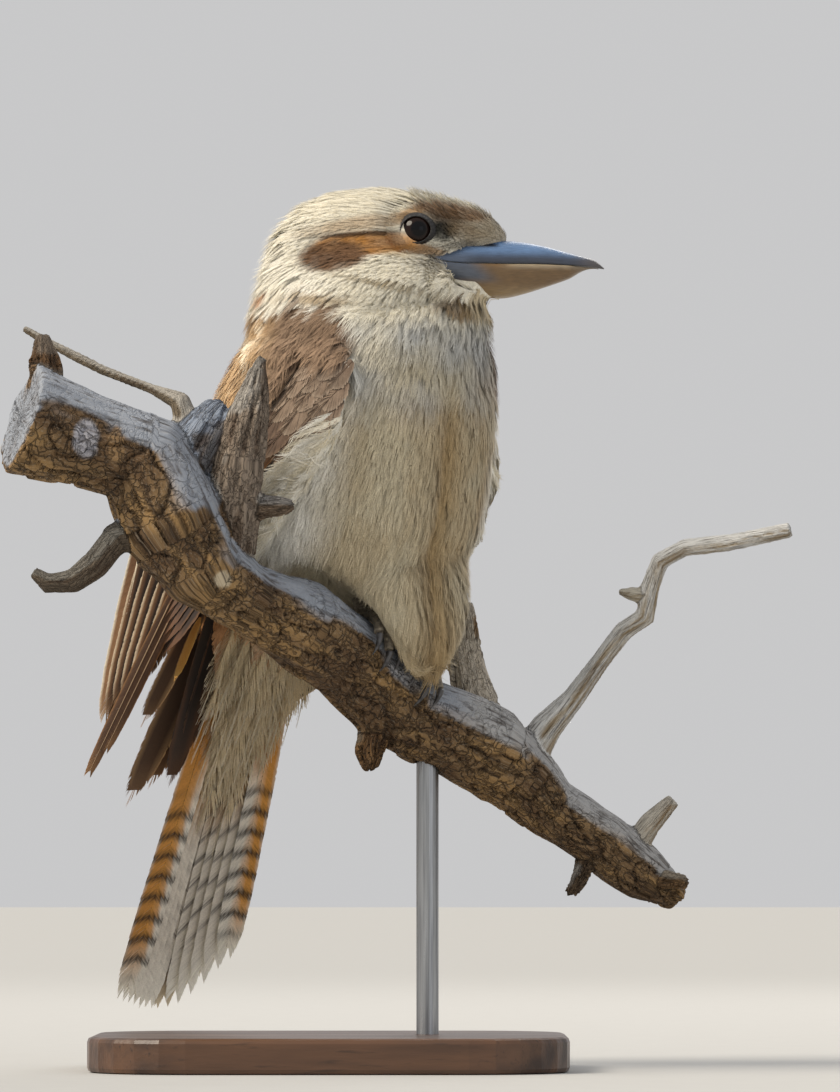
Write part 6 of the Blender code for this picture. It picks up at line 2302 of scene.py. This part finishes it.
@dataclass
class Branch:
    """The cut branch with its snag, twigs, knobs and stubs, and where the feet hold it.

    The line and the growths have rows of a place and a radius. The tones have a row for the branch and one for each
    growth: the colour of its upper side and that of its under side, lit and shaded copies of the bark: the upper one
    is the weathered grey made paler and bluer with painted sky light, the under one darker partly as painted shade.
    The spots have a place in X and Z, two half widths and a colour.
    """

    voxel: float = 0.0010
    line: Table = (
        (-1540, -960, 2532, 218), (-1280, -880, 2450, 180), (-1080, -820, 2390, 195), (-965, -800, 2150, 210),
        (-850, -770, 1965, 172), (-680, -680, 1862, 135), (-480, -440, 1765, 175), (-280, -180, 1625, 170),
        (-80, 10, 1440, 170), (70, 90, 1372, 180), (280, 190, 1280, 175), (410, 260, 1170, 150),
        (530, 310, 1050, 125), (730, 380, 920, 120), (910, 450, 780, 110), (1050, 500, 690, 60),
    )
    growths: tuple[Table, ...] = (
        (
            (-760, -680, 1960, 120), (-705, -775, 2370, 102), (-632, -805, 2720, 45), (-614, -810, 2790, 18),
        ),
        (
            (-740, -740, 2190, 60), (-500, -770, 2210, 26),
        ),
        (
            (-980, -790, 2130, 85), (-1180, -860, 2075, 66), (-1255, -890, 1975, 58), (-1345, -900, 1908, 50),
            (-1440, -910, 1900, 42), (-1495, -912, 1945, 24),
        ),
        (
            (-930, -760, 2330, 110), (-850, -750, 2480, 105), (-800, -745, 2560, 80), (-800, -745, 2620, 35),
        ),
        (
            (-900, -740, 2480, 60), (-935, -735, 2620, 44), (-1045, -710, 2668, 24), (-1250, -620, 2752, 22),
            (-1450, -560, 2858, 20), (-1560, -520, 2922, 18),
        ),
        (
            (-1450, -900, 2660, 75), (-1460, -900, 2870, 30),
        ),
        (
            (240, 240, 1400, 95), (175, 350, 1700, 65), (196, 360, 1890, 18),
        ),
        (
            (-160, -60, 1400, 70), (-195, -80, 1200, 30),
        ),
        (
            (420, 260, 1220, 85), (620, 245, 1490, 50), (820, 160, 1760, 42), (905, 110, 1815, 44),
            (965, 60, 2035, 40), (1060, 20, 2085, 38), (1480, -110, 2150, 34),
        ),
        (
            (920, 90, 1890, 30), (795, 80, 1915, 14),
        ),
        (
            (850, 430, 860, 60), (1030, 380, 1080, 34),
        ),
        (
            (920, 420, 760, 45), (1075, 340, 750, 24),
        ),
        (
            (700, 370, 880, 50), (605, 310, 700, 22),
        ),
    )
    tones: Table = (
        (150, 156, 166, 128, 103, 72), (166, 160, 152, 138, 124, 110), (150, 146, 142, 124, 106, 88),
        (126, 122, 114, 98, 86, 72), (136, 146, 162, 104, 104, 108), (176, 170, 160, 132, 118, 98),
        (120, 108, 96, 118, 88, 58), (196, 186, 170, 142, 114, 82), (140, 124, 104, 128, 96, 60),
        (216, 216, 214, 176, 156, 122), (196, 190, 176, 160, 142, 112), (190, 184, 172, 150, 124, 88),
        (150, 140, 126, 134, 104, 70), (150, 144, 136, 120, 100, 76),
    )
    spots: Table = (
        (-925, 2452, 50, 75, 184, 184, 192), (-810, 2420, 30, 80, 150, 120, 84), (-400, 1915, 33, 33, 196, 182, 156),
    )

    def grain(self, places: Array) -> tuple[Array, Array]:
        """Reads each place's terms along and round the nearest length of wood.

        Args:
            places: rows of X, Y and Z.

        Returns:
            Rows of place along, place round and place out, and the number of the nearest growth, 0 for the branch.
        """
        best = np.full(len(places), 1e9)
        rows, owner = np.zeros((len(places), 3)), np.zeros(len(places), int)
        for number, growth in enumerate((self.line, *self.growths)):
            spots = metres(growth)
            spots[:, 0] += HEAD_SHIFT
            for first, second, size, along in legs_of(spots):
                way = second[:3] - first[:3]
                t = np.clip(((places - first[:3]) @ way) / size**2, 0.0, 1.0)
                gap = places - first[:3] - t[:, None] * way
                far = np.linalg.norm(gap, axis=1)
                near = far - (first[3] + (second[3] - first[3]) * t)
                side = unit(np.cross(way, (0.1, 0.9, 0.3))[None])[0]
                other = unit(np.cross(way, side)[None])[0]
                closer = near < best
                best = np.where(closer, near, best)
                values = np.stack((along + t * size, np.arctan2(gap @ side, gap @ other) * 0.014, far), axis=1)
                rows = np.where(closer[:, None], values + number * 0.37, rows)
                owner = np.where(closer, number, owner)
        return rows, owner

    def build(self) -> None:
        """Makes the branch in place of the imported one."""
        mesh, points, edges = smoothed_node("perch", self.voxel, 5)
        normals = unit(relaxed(normals_of(mesh), edges, 3))
        grain, owner = self.grain(points)
        stretched = grain * np.array((0.22, 1.0, 0.4))
        ridges = cloud(stretched, 260.0, 1.0)
        fibres = cloud(stretched * np.array((0.7, 1.0, 1.0)), 620.0, 6.0)
        lumps = cloud(points, 38.0, 9.0)
        blocks = cloud(grain * np.array((0.6, 1.0, 1.0)), 150.0, 3.0)
        # up picks the lit upper tone or the shaded under tone; the three knob growths count as more lit.
        up = ramp(normals[:, 2] + 0.25 * lumps, -0.05, 0.40)
        up = np.clip(up + 0.45 * np.isin(owner, (9, 10, 11)), 0.0, 1.0)
        flaky = np.isin(owner, (0, 1, 2, 4, 6, 7, 8, 12, 13))
        rough = np.clip(1.15 - up + 0.5 * lumps, 0.10, 1.0) * np.where(flaky, 1.0, 0.25)
        rough = np.where(np.isin(owner, (1, 2, 3, 4, 7)), np.clip(rough, 0.45, 0.60), rough)
        cracks = 1.0 - ramp(np.abs(blocks), 0.0, 0.11)
        rise = (0.0008 * ridges + 0.0004 * fibres + 0.0010 * lumps + 0.0007 * ramp(blocks, -0.06, 0.06) * rough
                - 0.0013 * cracks * rough) * np.where(flaky, 1.0, 0.35)
        points = points + normals * rise[:, None]
        move(mesh, points)
        set_tint(mesh, self.colours(points, owner, up, lumps, ridges, cracks * rough))
        for name, kind, key, rows in (("grain", "FLOAT_VECTOR", "vector", grain), ("rough", "FLOAT", "value", rough)):
            mesh.attributes.new(name, kind, "POINT").data.foreach_set(key, rows.astype(np.float32).ravel())
        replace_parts(put("perch", mesh, BarkFinish().make()), "perch")

    def colours(self, points: Array, owner: Array, up: Array, lumps: Array, ridges: Array, cracks: Array) -> Array:
        """Reads the wood's broad colours.

        Args:
            points: rows of X, Y and Z.
            owner: the growth that each place is on.
            up: how far each place faces up.
            lumps: broad noise.
            ridges: noise along the wood.
            cracks: how deep in a crack each place is.

        Returns:
            Rows of linear colour.
        """
        light, under = (np.array([paint(*tone[k:k + 3]) for tone in self.tones])[owner] for k in (0, 3))
        far = ramp(points[:, 0], 0.046, 0.062) * (owner == 0)
        light = blend_to(light, paint(176, 172, 166), far * 0.6)
        # The upper side takes the lit tone and the under side the shaded one, and the dark brown patches below fall
        # only on the under side: painted light and painted shade by how each place faces.
        rows = under + (light - under) * ramp(up + 0.30 * ridges, 0.25, 0.62)[:, None]
        warm = (1.0 - up) * ramp(lumps + 0.8 * ridges, 0.05, 0.40) * (owner == 0)
        rows = blend_to(rows, paint(160, 128, 84), warm * 0.7)
        rows = blend_to(rows, paint(82, 60, 42), (1.0 - up) * ramp(-lumps - 0.8 * ridges, 0.05, 0.40) * 0.6)
        # Darker deep in the cracks: painted shade.
        rows = blend_to(rows, paint(54, 40, 30), cracks * 0.55)
        for spot in self.spots:
            x, z, wide, high = metres(spot[:4])
            reach = np.hypot((points[:, 0] - x) / wide, (points[:, 2] - z) / high) + 0.2 * ridges
            rows = blend_to(rows, paint(*spot[4:]), (1.0 - ramp(reach, 0.85, 1.1)) * (points[:, 1] < -0.05) * 0.9)
        return rows * (1.0 + 0.10 * lumps)[:, None]


@dataclass
class Feet:
    """Toes and claws gripping the branch."""

    voxel: float = 0.00045
    claw_voxel: float = 0.00026

    def build(self) -> None:
        """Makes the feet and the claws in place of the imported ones."""
        skin = HornFinish("toe_skin", 0.55, 0.08, 1400.0, (1.0, 1.0, 1.0), 0.0003, 0.18).make()
        horn = HornFinish("claw_horn", 0.34, 0.3, 1200.0, (1.0, 1.0, 0.3), 0.0001, 0.16).make()
        for side in Side:
            name = f"foot_{side.value}"
            mesh, points, _ = smoothed_node(name, self.voxel, 4)
            scales = cloud(points, 900.0, 3.0)
            folds = cloud(points * np.array((0.3, 0.3, 1.0)), 1500.0, 7.0)
            points = points + normals_of(mesh) * (0.00016 * scales + 0.00012 * folds + 0.0001)[:, None]
            move(mesh, points)
            # The toes are darker where the scale noise sinks the skin, as painted shade in the hollows, and paler where
            # the folds raise it, as painted highlight.
            set_tint(mesh, painted(len(points), paint(122, 112, 96),
                                   (paint(84, 76, 66), ramp(-scales, 0.0, 0.4) * 0.8),
                                   (paint(168, 158, 138), ramp(folds, 0.1, 0.4) * 0.5)))
            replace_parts(put(name, mesh, skin), name)
            for number in range(1, 5):
                name = f"claw_{side.value}_{number}"
                mesh, points, _ = smoothed_node(name, self.claw_voxel, 4)
                worn = ramp(cloud(points, 500.0, 2.0), -0.1, 0.4)
                set_tint(mesh, painted(len(points), paint(70, 68, 68), (paint(36, 33, 32), worn)))
                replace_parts(put(name, mesh, horn), name)


@dataclass
class Stand:
    """The plain display stand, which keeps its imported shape."""

    finishes: tuple[tuple[str, object], ...] = (("stand_base", BoardFinish()), ("stand_rod", RodFinish()))

    def dress(self) -> None:
        """Gives the base and the rod their finishes."""
        for name, finish in self.finishes:
            material = finish.make()
            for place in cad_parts[name].material_slots:
                place.material = material
            LOG.info("%s keeps its packed shape", name)


# Studio


@dataclass
class Studio:
    """Pale floor, soft lights and the camera."""

    reach: float = 40.0
    target: tuple[float, float, float] = (0.036, 0.0, 0.2092)
    distance: float = 2.6
    elevation: float = -3.0
    lens: float = 214.0
    sensor: float = 36.0

    def build(self) -> None:
        """Makes the floor, the world, the lights and the camera."""
        half = self.reach / 2.0
        points = np.array([(-half, -half, 0.0), (half, -half, 0.0), (half, half, 0.0), (-half, half, 0.0)])
        mesh = mesh_of("floor", points, [np.array([(0, 1, 2, 3)])], False)
        shader = Shader("pale_floor", Roughness=0.9)
        shader.colour(shader.mix(shader.noise(60.0, 3.0), paint(186, 186, 185), paint(192, 192, 190)))
        mesh.materials.append(shader.material)
        floor = bpy.data.objects.new("floor", mesh)
        bpy.context.scene.collection.objects.link(floor)
        world = bpy.data.worlds.new("soft_sky")
        world.use_nodes = True
        back = world.node_tree.nodes["Background"]
        back.inputs["Color"].default_value = (*paint(241, 241, 242), 1.0)
        back.inputs["Strength"].default_value = 0.66
        bpy.context.scene.world = world
        self.light("sun", "SUN", (-1.5, -0.72, 1.75), 0.55, 3.4, paint(255, 244, 226))
        self.light("rim", "AREA", (0.6, 1.6, 1.5), 0.8, 8.0, paint(255, 250, 244))
        self.light("fill", "AREA", (1.5, -1.9, 0.7), 1.2, 2.0, paint(226, 236, 255))
        bpy.context.scene.view_settings.view_transform = "Standard"
        self.camera()

    def light(self, name: str, kind: str, place: tuple[float, float, float], size: float, power: float,
              colour: Colour) -> Object:
        """Makes one soft light that faces the bird.

        Args:
            name: the light's name.
            kind: SUN or AREA.
            place: where it hangs.
            size: its side, or a sun's spread in radians.
            power: its power in watts, or a sun's in watts a square metre.
            colour: its colour.

        Returns:
            The light.
        """
        data = bpy.data.lights.new(name, kind)
        if kind == "SUN":
            data.angle = size
        else:
            data.shape, data.size = "SQUARE", size
        data.energy, data.color = power, colour
        thing = bpy.data.objects.new(name, data)
        thing.location = place
        thing.rotation_euler = (Vector(self.target) - Vector(place)).to_track_quat("-Z", "Y").to_euler()
        bpy.context.scene.collection.objects.link(thing)
        return thing

    def camera(self) -> None:
        """Makes the camera with the photo's framing."""
        data = bpy.data.cameras.new("camera")
        data.sensor_fit, data.sensor_height = "VERTICAL", self.sensor
        data.lens, data.clip_end = self.lens, 100.0
        thing = bpy.data.objects.new("camera", data)
        angle = math.radians(self.elevation)
        back = Vector((0.0, -math.cos(angle), math.sin(angle))) * self.distance
        thing.location = Vector(self.target) + back
        thing.rotation_euler = (-back).to_track_quat("-Z", "Y").to_euler()
        bpy.context.scene.collection.objects.link(thing)
        bpy.context.scene.camera = thing


def main() -> None:
    """Builds the bird, its branch and its stand."""
    logging.basicConfig(level=logging.INFO, format="%(message)s")
    markings = Markings()
    wings = [Wing(Side.RIGHT, 11), Wing(Side.LEFT, 12)]
    tail = Tail()
    flesh = Flesh()
    flesh.build([wing.slab() for wing in wings] + [tail.filler()])
    skin = flesh.dress(markings)
    bill = Bill().build()
    Eyes().build()
    Branch().build()
    Feet().build()
    for wing in wings:
        wing.build()
    tail.build()
    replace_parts(skin, *flesh.nodes)
    bare = [(tree_of(thing.data), 0.0003) for thing in bill] + [(tree_of(wing.slab()), 0.0028) for wing in wings]
    Coat(flesh, Strokes(), markings).build(bare, [wing.sheet() for wing in wings])
    Stand().dress()
    Studio().build()


if __name__ == "__main__":
    main()
